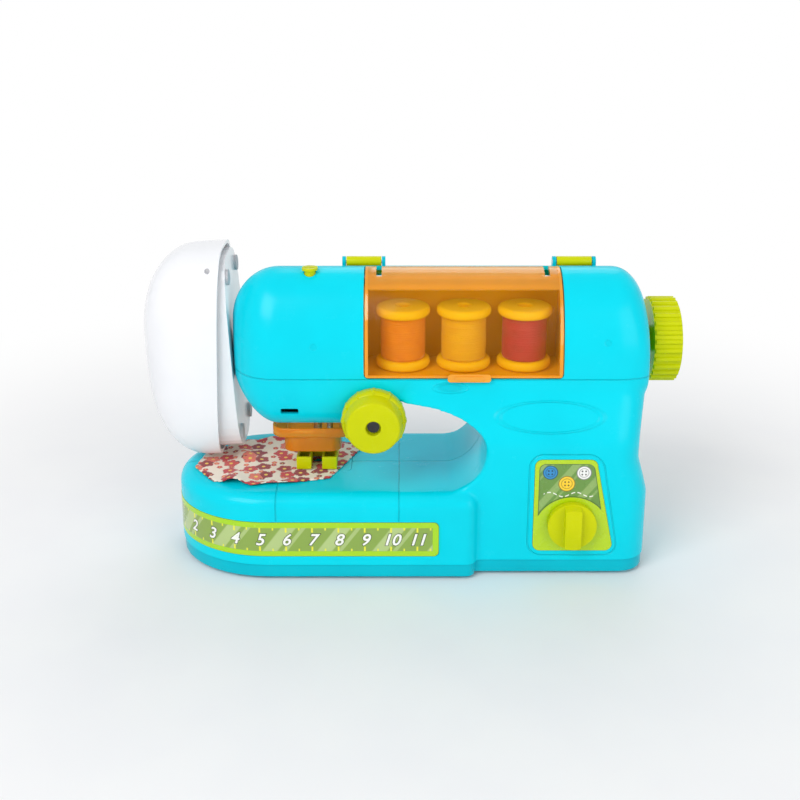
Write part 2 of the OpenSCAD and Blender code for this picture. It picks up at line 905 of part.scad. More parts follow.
module tension_knob() {
  rib_r = knob_d / 2 - knob_rib_d / 2;
  color([0.84, 0.87, 0.05])
    translate([knob_x, knob_back_y, knob_z])
      rotate([90, 0, 0])
        difference() {
          union() {
            cylinder(h = knob_rim_t, r = rib_r);
            for (i = [0 : knob_ribs - 1])
              rotate([0, 0, 360 * i / knob_ribs])
                translate([rib_r, 0, rib_in])
                  cylinder(h = knob_rim_t - 2 * rib_in, d = knob_rib_d, $fn = round_fn);
            translate([0, 0, knob_rim_t])
              cylinder(h = knob_h - knob_rim_t, d1 = knob_neck_d, d2 = knob_cap_d);
          }
          translate([0, 0, -over])
            cylinder(h = knob_h + 2 * over, d = knob_bore_d + 2 * run_fit);
          translate([0, 0, knob_back_y - post_end_y - gap])
            cylinder(h = knob_h, d = knob_recess_d);
        }
}

// Stitch dial and its switch
dial_clear = 0.6;
dial_back_y = -column_half_d - dial_clear;
dial_disc_h = 4;
dial_top_d = 24;
dial_grip_w = 9;
dial_shaft_in = 8.5;
dial_end_y = dial_shaft_in - column_half_d;
switch_w = 18;
switch_in = 14.5;
switch_y1 = switch_in - column_half_d;

module stitch_dial() {
  color([0.84, 0.87, 0.05]) {
    rod_y([dial_x, dial_back_y - dial_disc_h, dial_z], dial_disc_h, dial_d);
    intersection() {
      translate([dial_x, dial_back_y - dial_disc_h / 2, dial_z])
        rotate([90, 0, 0])
          cylinder(h = dial_h - dial_disc_h / 2, d1 = dial_d, d2 = dial_top_d);
      block([dial_x - dial_grip_w / 2, -reach, 0], [dial_x + dial_grip_w / 2, 0, reach]);
    }
    rod_y([dial_x, dial_back_y - dial_disc_h / 2, dial_z],
      dial_end_y - dial_back_y + dial_disc_h / 2, dial_shaft_d);
  }
}

module dial_switch() {
  color([0.25, 0.25, 0.27])
    difference() {
      block([dial_x - switch_w / 2, wall - column_half_d, dial_z - switch_w / 2],
        [dial_x + switch_w / 2, switch_y1, dial_z + switch_w / 2]);
      rod_y([dial_x, -reach, dial_z], reach + dial_end_y + over, dial_shaft_d + 2 * run_fit);
    }
}

// Needle bar, needle and presser foot
bar_rise = 18;
bar_over = 15.5;
frame_drop = 5.5;
frame_top_z = shoulder_z - frame_drop;
bar_z0 = bed_h + bar_rise;
bar_z1 = frame_top_z + bar_over;
needle_d = 1.2;
needle_l = 10;
needle_tip_l = 2.5;
needle_tip_d = 0.3;
clamp_w = 8;
clamp_h = 8;
clamp_arm_t = 4.7;
clamp_arm_y = 17.6;
stud_d = 3;
stud_l = 3.5;
presser_from_needle = 7;
presser_x = nx + presser_from_needle;
presser_y = 3;
presser_d = 3.6;
presser_over = 9.5;
presser_z1 = frame_top_z + presser_over;
cloth_z = bed_h + gap;
cloth_t = 0.8;
foot_z = cloth_z + cloth_t + 2 * gap;
foot_w = 23.4;
foot_toe_w = 8.5;
foot_front_y = -15;
foot_rear_y = 9;
foot_bridge_y = 3.2;
foot_toe_h = 7.6;
foot_toe_wall = 1.2;
neck_from_needle = 4;
neck_w = 6;
neck_x0 = nx + neck_from_needle;
neck_x1 = neck_x0 + neck_w;
neck_y1 = 6.5;
frame_t = 1.4;
frame_rise = 0.9;
clamp_clear = 0.9;
frame_left = 18.5;
frame_right = 20;
frame_z0 = head_bottom + wall + frame_rise;
clamp_z0 = frame_z0 + frame_t + needle_travel + clamp_clear;
rod_z0 = clamp_z0 + clamp_h / 2;
frame_x0 = nx - frame_left;
frame_x1 = nx + frame_right;
frame_y0 = -9;
frame_y1 = 8;
frame_plate_t = 3;
frame_plate_left = 8;
frame_plate_right = 11;
frame_plate_x0 = nx - frame_plate_left;
frame_plate_x1 = nx + frame_plate_right;
frame_top_t = 3.5;
guard_w = 33;
guard_d = 32;
guard_y = -2;
guard_r = 6;
guard_low = 16;
guard_step = 6;
guard_clear = 0.4;
guard_z0 = head_bottom - guard_low;
guard_z1 = head_bottom - guard_step;
guard_z2 = head_bottom - guard_clear;
guard_flange_w = 46;
guard_flange_d = 38;
guard_flange_r = 8;
guard_wall = 1.6;

module needle_plate() {
  color([0.8, 0.8, 0.82])
    difference() {
      translate([0, 0, bed_h - needle_plate_t])
        linear_extrude(height = needle_plate_t)
          polygon(rounded(guard_x, 0, plate_w, plate_d, plate_r));
      rod_z([nx, 0, 0], reach, foot_toe_h);
    }
}

module needle_guard() {
  color([0.95, 0.6, 0.05, 0.6])
    difference() {
      union() {
        translate([0, 0, guard_z1])
          linear_extrude(height = guard_z2 - guard_z1)
            polygon(rounded(guard_x, guard_y, guard_flange_w, guard_flange_d, guard_flange_r));
        translate([0, 0, guard_z0])
          linear_extrude(height = guard_z2 - guard_z0)
            polygon(rounded(guard_x, guard_y, guard_w, guard_d, guard_r));
      }
      translate([0, 0, guard_z0 - over])
        linear_extrude(height = reach)
          polygon(rounded(guard_x, guard_y, guard_w - 2 * guard_wall, guard_d - 2 * guard_wall,
            guard_r - guard_wall));
      translate([0, 0, guard_z1 + guard_wall])
        linear_extrude(height = reach)
          polygon(rounded(guard_x, guard_y, guard_flange_w - 2 * guard_wall,
            guard_flange_d - 2 * guard_wall, guard_flange_r - guard_wall));
    }
}

module needle_frame() {
  color([0.85, 0.85, 0.83])
    difference() {
      union() {
        block([frame_x0, frame_y0, frame_z0], [frame_x1, frame_y1, frame_z0 + frame_t]);
        block([frame_plate_x0, frame_y0, frame_z0],
          [frame_plate_x1, frame_y0 + frame_plate_t, frame_top_z + frame_top_t]);
        block([frame_plate_x0, frame_y0, frame_top_z],
          [frame_plate_x1, frame_y1, frame_top_z + frame_top_t]);
      }
      rod_z([nx, 0, 0], reach, needle_bar_d + 2 * run_fit);
      rod_z([presser_x, presser_y, 0], reach, presser_d + 2 * run_fit);
    }
}

module needle_bar() {
  color([0.8, 0.8, 0.82])
    rod_z([nx, 0, bar_z0], bar_z1 - bar_z0, needle_bar_d);
}

module needle() {
  color([0.7, 0.7, 0.72]) {
    rod_z([nx, 0, bar_z0 - needle_l + needle_tip_l], needle_l - needle_tip_l, needle_d);
    translate([nx, 0, bar_z0 - needle_l])
      cylinder(h = needle_tip_l, d1 = needle_tip_d, d2 = needle_d);
  }
}

module needle_clamp() {
  color([0.9, 0.9, 0.88])
    difference() {
      union() {
        block([nx - clamp_w / 2, -clamp_w / 2, clamp_z0],
          [nx + clamp_w / 2, clamp_w / 2, clamp_z0 + clamp_h]);
        block([nx - clamp_w / 2, 0, clamp_z0],
          [nx - clamp_w / 2 + clamp_arm_t, clamp_arm_y, clamp_z0 + clamp_h]);
        rod_x([nx - clamp_w / 2 + clamp_arm_t / 2, shaft_y, rod_z0], clamp_arm_t / 2 + stud_l, stud_d);
      }
      rod_z([nx, 0, 0], reach, needle_bar_d + 2 * run_fit);
    }
}

module foot_toe(x) {
  difference() {
    block([x, foot_front_y, foot_z], [x + foot_toe_w, foot_rear_y, foot_z + foot_toe_h]);
    block([x + foot_toe_wall, foot_front_y + foot_toe_wall, foot_z + foot_toe_wall],
      [x + foot_toe_w - foot_toe_wall, foot_bridge_y - foot_toe_wall, reach]);
  }
}

module presser_foot() {
  color([0.84, 0.87, 0.05]) {
    foot_toe(nx - foot_w / 2);
    foot_toe(nx + foot_w / 2 - foot_toe_w);
    block([nx - foot_w / 2, foot_bridge_y, foot_z], [nx + foot_w / 2, foot_rear_y, foot_z + foot_toe_h]);
    block([neck_x0, foot_toe_wall, foot_z + foot_toe_h / 2], [neck_x1, neck_y1, bar_z0]);
  }
}

module presser_bar() {
  color([0.8, 0.8, 0.82])
    rod_z([presser_x, presser_y, bar_z0], presser_z1 - bar_z0, presser_d);
}

lever_clear = 0.6;
lever_y0 = arm_half + lever_clear;
lever_t = 4.4;
lever_hub_d = 12;
lever_l = 26;
lever_w = 7;
lever_bulb = 1.4;
lever_in = 0.6;
lever_deg = 20;
lever_cam_d = 9;
lever_cam_y = 18;
lever_cam_t = 4;

module presser_lifter() {
  color([0.95, 0.55, 0.05]) {
    rod_y([lifter_x, lever_y0, lifter_z], lever_t, lever_hub_d);
    translate([lifter_x, lever_y0, lifter_z])
      rotate([0, lever_deg, 0]) {
        block([0, lever_in, -lever_w / 2], [lever_l, lever_t - lever_in, lever_w / 2]);
        rod_y([lever_l, 0, 0], lever_t, lever_w + lever_bulb);
      }
    rod_y([lifter_x, lever_cam_y, lifter_z], lever_y0 - lever_cam_y + lever_t / 2, lifter_shaft_d);
    rod_y([lifter_x, lever_cam_y, lifter_z], lever_cam_t, lever_cam_d);
  }
}

// Drive: handwheel, shaft, crank, belt and motor
shaft_from_needle = 8;
shaft_x0 = nx + shaft_from_needle;
crank_t = 4;
crank_disc_d = 18;
crank_r = 5;
crank_pin_d = 3;
crank_pin_l = 3.7;
conrod_t = 3;
conrod_eye_d = 7;
conrod_w = 5;
conrod_x0 = shaft_x0 - crank_pin_l - gap - conrod_t;
bush_block_w = 6;
bush_from_needle = 16;
bush_front = 2.8;
bush_back_gap = 3.6;
bush_block_x = nx + bush_from_needle;
bush_block_y0 = shaft_y - bush_front;
bush_block_y1 = arm_half - bush_back_gap;
bush_block_h = 12;
bush_in = 13;
bush_x0 = arm_x - bush_in;
bush_flange_x = base_x1 + gap;
bush_flange_t = 1.5;
bush_flange_d = 16;
pulley_from_lid = 13;
pulley_x0 = lid_right + pulley_from_lid;
pulley_w = 8;
pulley_flange_t = 1.5;
pulley_flange_h = 2;
belt_w = 3;
belt_t = 1.2;
belt_gap = 0.15;
motor_gap = 1;
motor_x0 = pulley_x0 + pulley_w + motor_gap;
motor_l = 18;
motor_boss_d = 8;
motor_shaft_d = 2.3;
motor_shaft_gap = 0.2;
mount_in_x = 1;
mount_l = 10;
mount_half_d = 13;
mount_lap = 4;
wheel_gap = 2.7;
wheel_x0 = bush_flange_x + bush_flange_t + wheel_gap;
wheel_hub_d = 14;
wheel_hub_x0 = bush_flange_x + bush_flange_t + gap;
shaft_in_wheel = 11.5;
shaft_x1 = wheel_x0 + shaft_in_wheel;
wheel_rib_d = 3;
wheel_dish_d = 38;
wheel_dish_h = 5;
wheel_hub_in = 1.5;
wheel_hub_x1 = wheel_x0 + wheel_w - wheel_hub_in;
wheel_screw_d = 7;
wheel_screw_h = 1.4;
wheel_shank_d = 3;

module main_shaft() {
  color([0.75, 0.76, 0.78])
    rod_x([shaft_x0, shaft_y, shaft_z], shaft_x1 - shaft_x0, shaft_d);
}

module crank_disc() {
  color([0.9, 0.9, 0.88])
    difference() {
      union() {
        rod_x([shaft_x0, shaft_y, shaft_z], crank_t, crank_disc_d);
        rod_x([shaft_x0 - crank_pin_l, shaft_y, shaft_z - crank_r], crank_pin_l + crank_t / 2, crank_pin_d);
      }
      rod_x([shaft_x0 + crank_t / 2, shaft_y, shaft_z], crank_t, shaft_d + 2 * run_fit);
      rod_x([shaft_x0 - over, shaft_y, shaft_z], crank_t, shaft_d + 2 * run_fit);
    }
}

module conrod() {
  color([0.9, 0.9, 0.88])
    difference() {
      union() {
        rod_x([conrod_x0, shaft_y, shaft_z - crank_r], conrod_t, conrod_eye_d);
        rod_x([conrod_x0, shaft_y, rod_z0], conrod_t, conrod_eye_d);
        block([conrod_x0, shaft_y - conrod_w / 2, rod_z0],
          [conrod_x0 + conrod_t, shaft_y + conrod_w / 2, shaft_z - crank_r]);
      }
      rod_x([-reach, shaft_y, rod_z0], 2 * reach, stud_d + 2 * run_fit);
      rod_x([-reach, shaft_y, shaft_z - crank_r], 2 * reach, crank_pin_d + 2 * run_fit);
    }
}

module left_bush() {
  color([0.85, 0.85, 0.83])
    difference() {
      block([bush_block_x, bush_block_y0, shaft_z - bush_block_h / 2],
        [bush_block_x + bush_block_w, bush_block_y1, shaft_z + bush_block_h / 2]);
      rod_x([-reach, shaft_y, shaft_z], 2 * reach, shaft_d + 2 * run_fit);
    }
}

module right_bush() {
  color([0.15, 0.15, 0.16])
    difference() {
      union() {
        rod_x([bush_x0, shaft_y, shaft_z], bush_flange_x - bush_x0 + bush_flange_t, bush_d);
        rod_x([bush_flange_x, shaft_y, shaft_z], bush_flange_t, bush_flange_d);
      }
      rod_x([0, shaft_y, shaft_z], reach, shaft_d + 2 * run_fit);
    }
}

module pulley(z, d) {
  rod_x([pulley_x0, shaft_y, z], pulley_w, d);
  for (x = [pulley_x0, pulley_x0 + pulley_w - pulley_flange_t])
    rod_x([x, shaft_y, z], pulley_flange_t, d + 2 * pulley_flange_h);
}

module main_pulley() {
  color([0.2, 0.2, 0.22])
    difference() {
      pulley(shaft_z, main_pulley_d);
      rod_x([0, shaft_y, shaft_z], reach, shaft_d + 2 * run_fit);
    }
}

module motor_pulley() {
  color([0.2, 0.2, 0.22]) {
    pulley(motor_z, motor_pulley_d);
    rod_x([pulley_x0, shaft_y, motor_z], motor_x0 - motor_shaft_gap - pulley_x0, motor_shaft_d);
  }
}

belt_steps = 16;
belt_lean = asin((main_pulley_d - motor_pulley_d) / (2 * (shaft_z - motor_z)));
function belt_arc(z, r, a0, a1) = [for (i = [0 : belt_steps])
  let (a = a0 + (a1 - a0) * i / belt_steps) [shaft_y + r * cos(a), z + r * sin(a)]];
function belt_loop(o) = concat(
  belt_arc(shaft_z, main_pulley_d / 2 + o, -belt_lean, 180 + belt_lean),
  belt_arc(motor_z, motor_pulley_d / 2 + o, 180 + belt_lean, 360 - belt_lean));

module drive_belt() {
  x = pulley_x0 + pulley_w / 2 - belt_w / 2;
  color([0.1, 0.1, 0.1])
    difference() {
      across(x, belt_loop(belt_gap + belt_t), belt_w);
      across(x - over, belt_loop(belt_gap), belt_w + 2 * over);
    }
}

module motor() {
  color([0.7, 0.71, 0.73]) {
    rod_x([motor_x0 + motor_shaft_gap, shaft_y, motor_z], motor_l, motor_d);
    rod_x([motor_x0, shaft_y, motor_z], motor_l, motor_boss_d);
  }
}

module motor_mount() {
  color([0.2, 0.2, 0.22])
    difference() {
      block([motor_x0 + mount_in_x, shaft_y - mount_half_d, floor_z],
        [motor_x0 + mount_in_x + mount_l, shaft_y + mount_half_d, motor_z - mount_lap]);
      rod_x([0, shaft_y, motor_z], reach, motor_d + 2 * run_fit);
    }
}

module handwheel() {
  rib_r = wheel_d / 2 - wheel_rib_d / 2;
  color([0.84, 0.87, 0.05])
    difference() {
      union() {
        rod_x([wheel_x0, shaft_y, shaft_z], wheel_w, 2 * rib_r);
        rod_x([wheel_hub_x0, shaft_y, shaft_z], wheel_w, wheel_hub_d);
        for (i = [0 : wheel_ribs - 1])
          translate([0, shaft_y, shaft_z])
            rotate([360 * i / wheel_ribs, 0, 0])
              rod_x([wheel_x0 + rib_in, 0, rib_r], wheel_w - 2 * rib_in, wheel_rib_d, $fn = round_fn);
      }
      difference() {
        rod_x([wheel_x0 + wheel_w - wheel_dish_h, shaft_y, shaft_z], wheel_w, wheel_dish_d);
        rod_x([0, shaft_y, shaft_z], wheel_hub_x1, wheel_hub_d);
      }
      rod_x([0, shaft_y, shaft_z], reach, shaft_d + 2 * run_fit);
    }
}

module wheel_screw() {
  color([0.8, 0.8, 0.82]) {
    rod_x([wheel_hub_x1, shaft_y, shaft_z], wheel_screw_h, wheel_screw_d);
    rod_x([shaft_x1, shaft_y, shaft_z], wheel_hub_x1 - shaft_x1 + wheel_screw_h / 2, wheel_shank_d);
  }
}

// Carry handle, folded back over the rear of the arm
handle_bar_w = 9;
handle_pin_d = 2.5;
bracket_t = 2;
bracket_low = 10.6;
bracket_high = 9;
bracket_z0 = arm_top - bracket_low;
bracket_z1 = arm_top - bracket_high;
bracket_cheek_d = 6;
bracket_gap = 0.4;

module at_handle() {
  translate([handle_mid_x, handle_y, handle_z])
    children();
}

module carry_handle() {
  color([0.84, 0.87, 0.05])
    at_handle()
      rotate([-handle_rest_deg, 0, 0])
        difference() {
          union() {
            for (s = [-1, 1]) {
              rod_x([s * handle_span / 2 - handle_foot_w / 2, 0, 0], handle_foot_w, handle_t);
              block([s * handle_span / 2 - handle_foot_w / 2, 0, -handle_t / 2],
                [s * handle_span / 2 + handle_foot_w / 2, handle_l - handle_t / 2, handle_t / 2]);
            }
            block([-handle_span / 2, handle_l - handle_bar_w, -handle_t / 2],
              [handle_span / 2, handle_l - handle_t / 2, handle_t / 2]);
            rod_x([-handle_span / 2 - handle_foot_w / 2, handle_l - handle_t / 2, 0],
              handle_span + handle_foot_w, handle_t);
          }
          rod_x([-reach, 0, 0], 2 * reach, handle_pin_d + 2 * run_fit);
        }
}

module handle_brackets() {
  w = handle_foot_w / 2 + bracket_gap;
  color([0, 0.66, 0.74])
    difference() {
      for (s = [-1, 1])
        translate([handle_mid_x + s * handle_span / 2, 0, 0]) {
          block([-w - bracket_t, pocket_y0 + gap, bracket_z0], [w + bracket_t, pocket_y1 - gap, bracket_z1]);
          for (c = [-w - bracket_t, w]) {
            block([c, handle_y - bracket_cheek_d / 2, bracket_z0],
              [c + bracket_t, handle_y + bracket_cheek_d / 2, handle_z]);
            rod_x([c, handle_y, handle_z], bracket_t, bracket_cheek_d);
          }
        }
      rod_x([-reach, handle_y, handle_z], 2 * reach, handle_pin_d + 2 * run_fit);
    }
}

module handle_pins() {
  w = handle_foot_w / 2 + bracket_gap + bracket_t;
  color([0.8, 0.8, 0.82])
    for (s = [-1, 1])
      rod_x([handle_mid_x + s * handle_span / 2 - w, handle_y, handle_z], 2 * w, handle_pin_d);
}

// Cloth lying on the bed, as corners on the bed
cloth_w = 99;
cloth_d = 68;
cloth_left = 72;
cloth_front = 35;
cloth_shares = [
  [0, 25 / 68], [13 / 99, 6 / 68], [36 / 99, 0], [56 / 99, 3 / 68], [80 / 99, 10 / 68],
  [1, 57 / 68], [66 / 99, 1], [26 / 99, 63 / 68], [4 / 99, 47 / 68]];
cloth_points = [for (p = cloth_shares) [nx - cloth_left + p[0] * cloth_w, p[1] * cloth_d - cloth_front]];
cloth_hole_d = 3;

module sample_cloth() {
  color([0.95, 0.75, 0.7])
    difference() {
      translate([0, 0, cloth_z])
        linear_extrude(height = cloth_t)
          polygon(cloth_points);
      rod_z([nx, 0, 0], reach, cloth_hole_d);
    }
}

// Foot pedal, standing on its toe end on the bed beside the head
pedal_from_head = 3;
pedal_rise = 4.5;
pedal_x = -head_x - pedal_from_head;
pedal_y = 14;
pedal_z = bed_h + pedal_l + pedal_rise;
pedal_lean_deg = 2.9;
pedal_base_gap = 2.4;
pedal_base_in = pedal_wall + pedal_base_gap;
pedal_floor_t = 2;
pedal_rim_drop = 3;
pedal_rim_h = pedal_base_h - pedal_rim_drop;
pedal_pin_u = 10;
pedal_pin_w = 9;
pedal_pin_d = 3;
pedal_pin_in = 19;
pedal_pin_l = pedal_w - pedal_pin_in;
skirt_heel_w = 2;
skirt_toe_drop = 4;
skirt_toe_w = pedal_base_h - skirt_toe_drop;
pedal_foot_d = 9;
pedal_foot_h = 1.5;
pedal_foot_in = 16;
pedal_foot_u = [pedal_foot_in, pedal_l - pedal_foot_in];
pedal_foot_v = pedal_w / 2 - pedal_foot_in;
pedal_spring_share = 2 / 3;
pedal_spring_u = pedal_l * pedal_spring_share;
pedal_spring_d = 9;
pedal_spring_h = pedal_rim_h + over;
pedal_spring_t = 1.2;
pedal_switch_in = 5;
pedal_switch_u = pedal_l / 2 - pedal_switch_in;
pedal_switch_w = 14;
pedal_switch_d = 10;
pedal_switch_h = 9;
pedal_steps = 40;
dome_power = 2.4;
dome_shares = [0, 0.22, 0.44, 0.62, 0.78, 0.9, 0.97];

module at_pedal() {
  translate([pedal_x, pedal_y, pedal_z])
    rotate([0, -pedal_lean_deg, 0])
      rotate([0, 90, 180])
        children();
}

function pedal_ring(inset, k) = [for (i = [0 : pedal_steps - 1])
  let (a = 360 * i / pedal_steps)
  [pedal_l / 2 + (pedal_l / 2 - inset) * k * boxy(cos(a)),
   (pedal_w / 2 - inset) * k * boxy(sin(a))]];
function dome_k(t) = pow(1 - pow(t, dome_power), 1 / dome_power);

function dome_ring(t, inset) =
  level(pedal_base_h + (pedal_dome_h - inset) * t, pedal_ring(inset, dome_k(t)));

module dome_form(inset, w0) {
  between(level(w0, pedal_ring(inset, 1)), dome_ring(0, inset));
  for (i = [0 : len(dome_shares) - 2])
    between(dome_ring(dome_shares[i], inset), dome_ring(dome_shares[i + 1], inset));
}

module pedal_treadle() {
  color([0.96, 0.96, 0.95])
    at_pedal()
      difference() {
        dome_form(0, 0);
        dome_form(pedal_wall, -over);
        translate([0, 0, skirt_heel_w])
          rotate([0, -atan((skirt_toe_w - skirt_heel_w) / pedal_l), 0])
            block([-reach, -reach, -reach], [reach, reach, 0]);
        rod_y([pedal_pin_u, -pedal_w, pedal_pin_w], 2 * pedal_w, pedal_pin_d + 2 * run_fit);
      }
}

module pedal_base() {
  color([0.96, 0.96, 0.95])
    at_pedal()
      difference() {
        linear_extrude(height = pedal_rim_h)
          polygon(pedal_ring(pedal_base_in, 1));
        translate([0, 0, pedal_floor_t])
          linear_extrude(height = pedal_rim_h)
            polygon(pedal_ring(pedal_base_in + pedal_wall, 1));
        rod_y([pedal_pin_u, -pedal_w, pedal_pin_w], 2 * pedal_w, pedal_pin_d + 2 * run_fit);
      }
}

module pedal_pin() {
  color([0.8, 0.8, 0.82])
    at_pedal()
      rod_y([pedal_pin_u, -pedal_pin_l / 2, pedal_pin_w], pedal_pin_l, pedal_pin_d);
}

module pedal_spring() {
  color([0.75, 0.76, 0.78])
    at_pedal()
      difference() {
        rod_z([pedal_spring_u, 0, pedal_floor_t], pedal_spring_h, pedal_spring_d);
        rod_z([pedal_spring_u, 0, pedal_floor_t - over], reach, pedal_spring_d - 2 * pedal_spring_t);
      }
}

module pedal_switch() {
  color([0.2, 0.2, 0.22])
    at_pedal()
      block([pedal_switch_u - pedal_switch_w / 2, -pedal_switch_d / 2, pedal_floor_t],
        [pedal_switch_u + pedal_switch_w / 2, pedal_switch_d / 2, pedal_floor_t + pedal_switch_h]);
}

module pedal_feet() {
  color([0.12, 0.12, 0.13])
    at_pedal()
      for (u = pedal_foot_u, s = [-1, 1])
        rod_z([u, s * pedal_foot_v, -pedal_foot_h], pedal_foot_h, pedal_foot_d);
}

front_shell();
rear_shell();
base_plate();
rubber_feet();
battery_door();
door_screw();
battery_box();
battery_contacts();
case_screws();
spool_tray();
spool_posts();
ruler_plate();
label_plate();
thread_guide();
needle_plate();
needle_guard();
needle_frame();
presser_foot();
presser_bar();
presser_lifter();
needle_bar();
needle_clamp();
needle();
conrod();
crank_disc();
main_shaft();
left_bush();
right_bush();
main_pulley();
drive_belt();
motor();
motor_pulley();
motor_mount();
handwheel();
wheel_screw();
tension_post();
tension_knob();
knob_screw();
stitch_dial();
dial_switch();
spool_lid();
lid_pin();
carry_handle();
handle_brackets();
handle_pins();
spool_left();
spool_middle();
spool_right();
yarn_left();
yarn_middle();
yarn_right();
sample_cloth();
pedal_base();
pedal_treadle();
pedal_pin();
pedal_spring();
pedal_switch();
pedal_feet();
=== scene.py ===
"""Looks of the toy sewing machine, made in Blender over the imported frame.

Every piece is built at its place in the frame, rides on a CAD body and takes one of the finishes below.
Lengths are millimetres until a form becomes a mesh, which is in metres, as the studio's lamps are.
"""

from __future__ import annotations

import json
import logging
import math
from dataclasses import dataclass, field
from enum import Enum
from typing import Any, Callable, Iterable, Sequence

import bmesh
import bpy
from mathutils import Matrix, Vector

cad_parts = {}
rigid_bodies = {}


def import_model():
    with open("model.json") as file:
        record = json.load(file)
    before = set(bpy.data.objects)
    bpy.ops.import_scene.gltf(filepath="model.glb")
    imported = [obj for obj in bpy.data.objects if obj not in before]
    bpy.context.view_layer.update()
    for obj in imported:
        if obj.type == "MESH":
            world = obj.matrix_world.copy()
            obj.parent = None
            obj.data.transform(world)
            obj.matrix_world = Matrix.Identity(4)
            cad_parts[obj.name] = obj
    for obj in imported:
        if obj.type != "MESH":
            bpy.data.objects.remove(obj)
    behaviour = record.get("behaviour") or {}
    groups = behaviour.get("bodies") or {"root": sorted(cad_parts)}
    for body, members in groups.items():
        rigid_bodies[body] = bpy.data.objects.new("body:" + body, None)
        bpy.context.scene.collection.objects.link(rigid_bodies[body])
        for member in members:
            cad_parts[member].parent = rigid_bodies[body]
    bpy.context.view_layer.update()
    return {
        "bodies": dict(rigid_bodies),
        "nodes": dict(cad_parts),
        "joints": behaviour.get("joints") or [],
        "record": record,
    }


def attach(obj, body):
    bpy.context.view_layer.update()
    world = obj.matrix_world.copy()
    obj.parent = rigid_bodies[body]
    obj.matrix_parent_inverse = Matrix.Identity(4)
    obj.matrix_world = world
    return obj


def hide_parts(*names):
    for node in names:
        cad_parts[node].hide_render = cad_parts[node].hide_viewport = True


LOG = logging.getLogger("sewing_machine")
MM = 0.001
FRONT = math.radians(270)

Point = Sequence[float]
Colour = tuple[float, float, float]
Material = bpy.types.Material
Piece = bpy.types.Object
Socket = bpy.types.NodeSocket
Tree = bpy.types.NodeTree


def srgb(*levels: int) -> Colour:
    """Turns 8-bit display values into the linear colour that a shader takes.

    Args:
        levels: Red, green and blue, 0 to 255.

    Returns:
        The linear colour.
    """

    def one(level: int) -> float:
        """One channel without the display's curve."""
        share = level / 255
        return share / 12.92 if share <= 0.04045 else ((share + 0.055) / 1.055) ** 2.4

    return tuple(one(level) for level in levels)


def toned(colour: Colour, share: float, plus: float = 0.0) -> Colour:
    """A darker or lighter colour: each channel times share, and plus added, up to 1."""
    return tuple(min(1.0, share * level + plus) for level in colour)


def added(
    tree: Tree, kind: str, settings: dict[str, Any] | None = None, sockets: dict[Any, Any] | None = None
) -> bpy.types.Node:
    """Adds a node.

    Args:
        tree: The tree that it goes into.
        kind: The node's type.
        settings: The node's own settings, which are set first.
        sockets: Values or links of its input sockets, by name or number.

    Returns:
        The node.
    """
    node = tree.nodes.new(kind)
    for key, value in (settings or {}).items():
        setattr(node, key, value)
    for key, value in (sockets or {}).items():
        source = value.source if isinstance(value, (Val, Hue)) else value
        socket = node.inputs[key]
        if isinstance(source, Socket):
            tree.links.new(source, socket)
        else:
            socket.default_value = (*source, 1.0) if socket.type == "RGBA" else source
    return node


class Val:
    """A number that varies over a surface, with the usual operators."""

    def __init__(self, tree: Tree, source: Socket) -> None:
        """Wraps a socket of a tree."""
        self.tree = tree
        self.source = source

    def run(self, operation: str, *values: Val | float) -> Val:
        """Adds a Math node to this value's tree.

        Args:
            operation: The node's operation.
            values: What it takes, in order.

        Returns:
            The node's result.
        """
        node = added(self.tree, "ShaderNodeMath", {"operation": operation}, dict(enumerate(values)))
        return Val(self.tree, node.outputs[0])

    def math(self, operation: str, *others: Val | float) -> Val:
        """Runs a Math node on this value, and on others after it."""
        return self.run(operation, self, *others)

    def __add__(self, other: Val | float) -> Val:
        """The sum."""
        return self.math("ADD", other)

    def __sub__(self, other: Val | float) -> Val:
        """The difference."""
        return self.math("SUBTRACT", other)

    def __rsub__(self, other: float) -> Val:
        """A plain number less this value."""
        return self.run("SUBTRACT", other, self)

    def __mul__(self, other: Val | float) -> Val:
        """The product."""
        return self.math("MULTIPLY", other)

    def __truediv__(self, other: Val | float) -> Val:
        """The quotient."""
        return self.math("DIVIDE", other)

    def __pow__(self, other: Val | float) -> Val:
        """The power."""
        return self.math("POWER", other)

    def __abs__(self) -> Val:
        """The value without its sign."""
        return self.math("ABSOLUTE")

    __radd__, __rmul__ = __add__, __mul__

    def low(self, other: Val | float) -> Val:
        """The smaller of two values."""
        return self.math("MINIMUM", other)

    def high(self, other: Val | float) -> Val:
        """The larger of two values."""
        return self.math("MAXIMUM", other)

    def hypot(self, other: Val) -> Val:
        """The long side over this value and another at right angles."""
        return ((self**2.0) + (other**2.0)).math("SQRT")

    def wrapped(self, period: float) -> Val:
        """The value folded into one period about zero, from -period/2 to period/2."""
        return self.math("WRAP", period / 2, -period / 2)

    def step(self, start: float, end: float) -> Val:
        """A smooth step.

        Args:
            start: Where it is 0.
            end: Where it is 1, above start or below it.

        Returns:
            The step.
        """
        span = (start, end, 0.0, 1.0) if start < end else (end, start, 1.0, 0.0)
        sockets = dict(enumerate((self, *span)))
        node = added(self.tree, "ShaderNodeMapRange", {"interpolation_type": "SMOOTHSTEP"}, sockets)
        return Val(self.tree, node.outputs[0])

    def band(self, half: float, soft: float) -> Val:
        """1 where the value lies within half of zero, 0 outside, with a soft edge."""
        return abs(self).step(half + soft, half - soft)


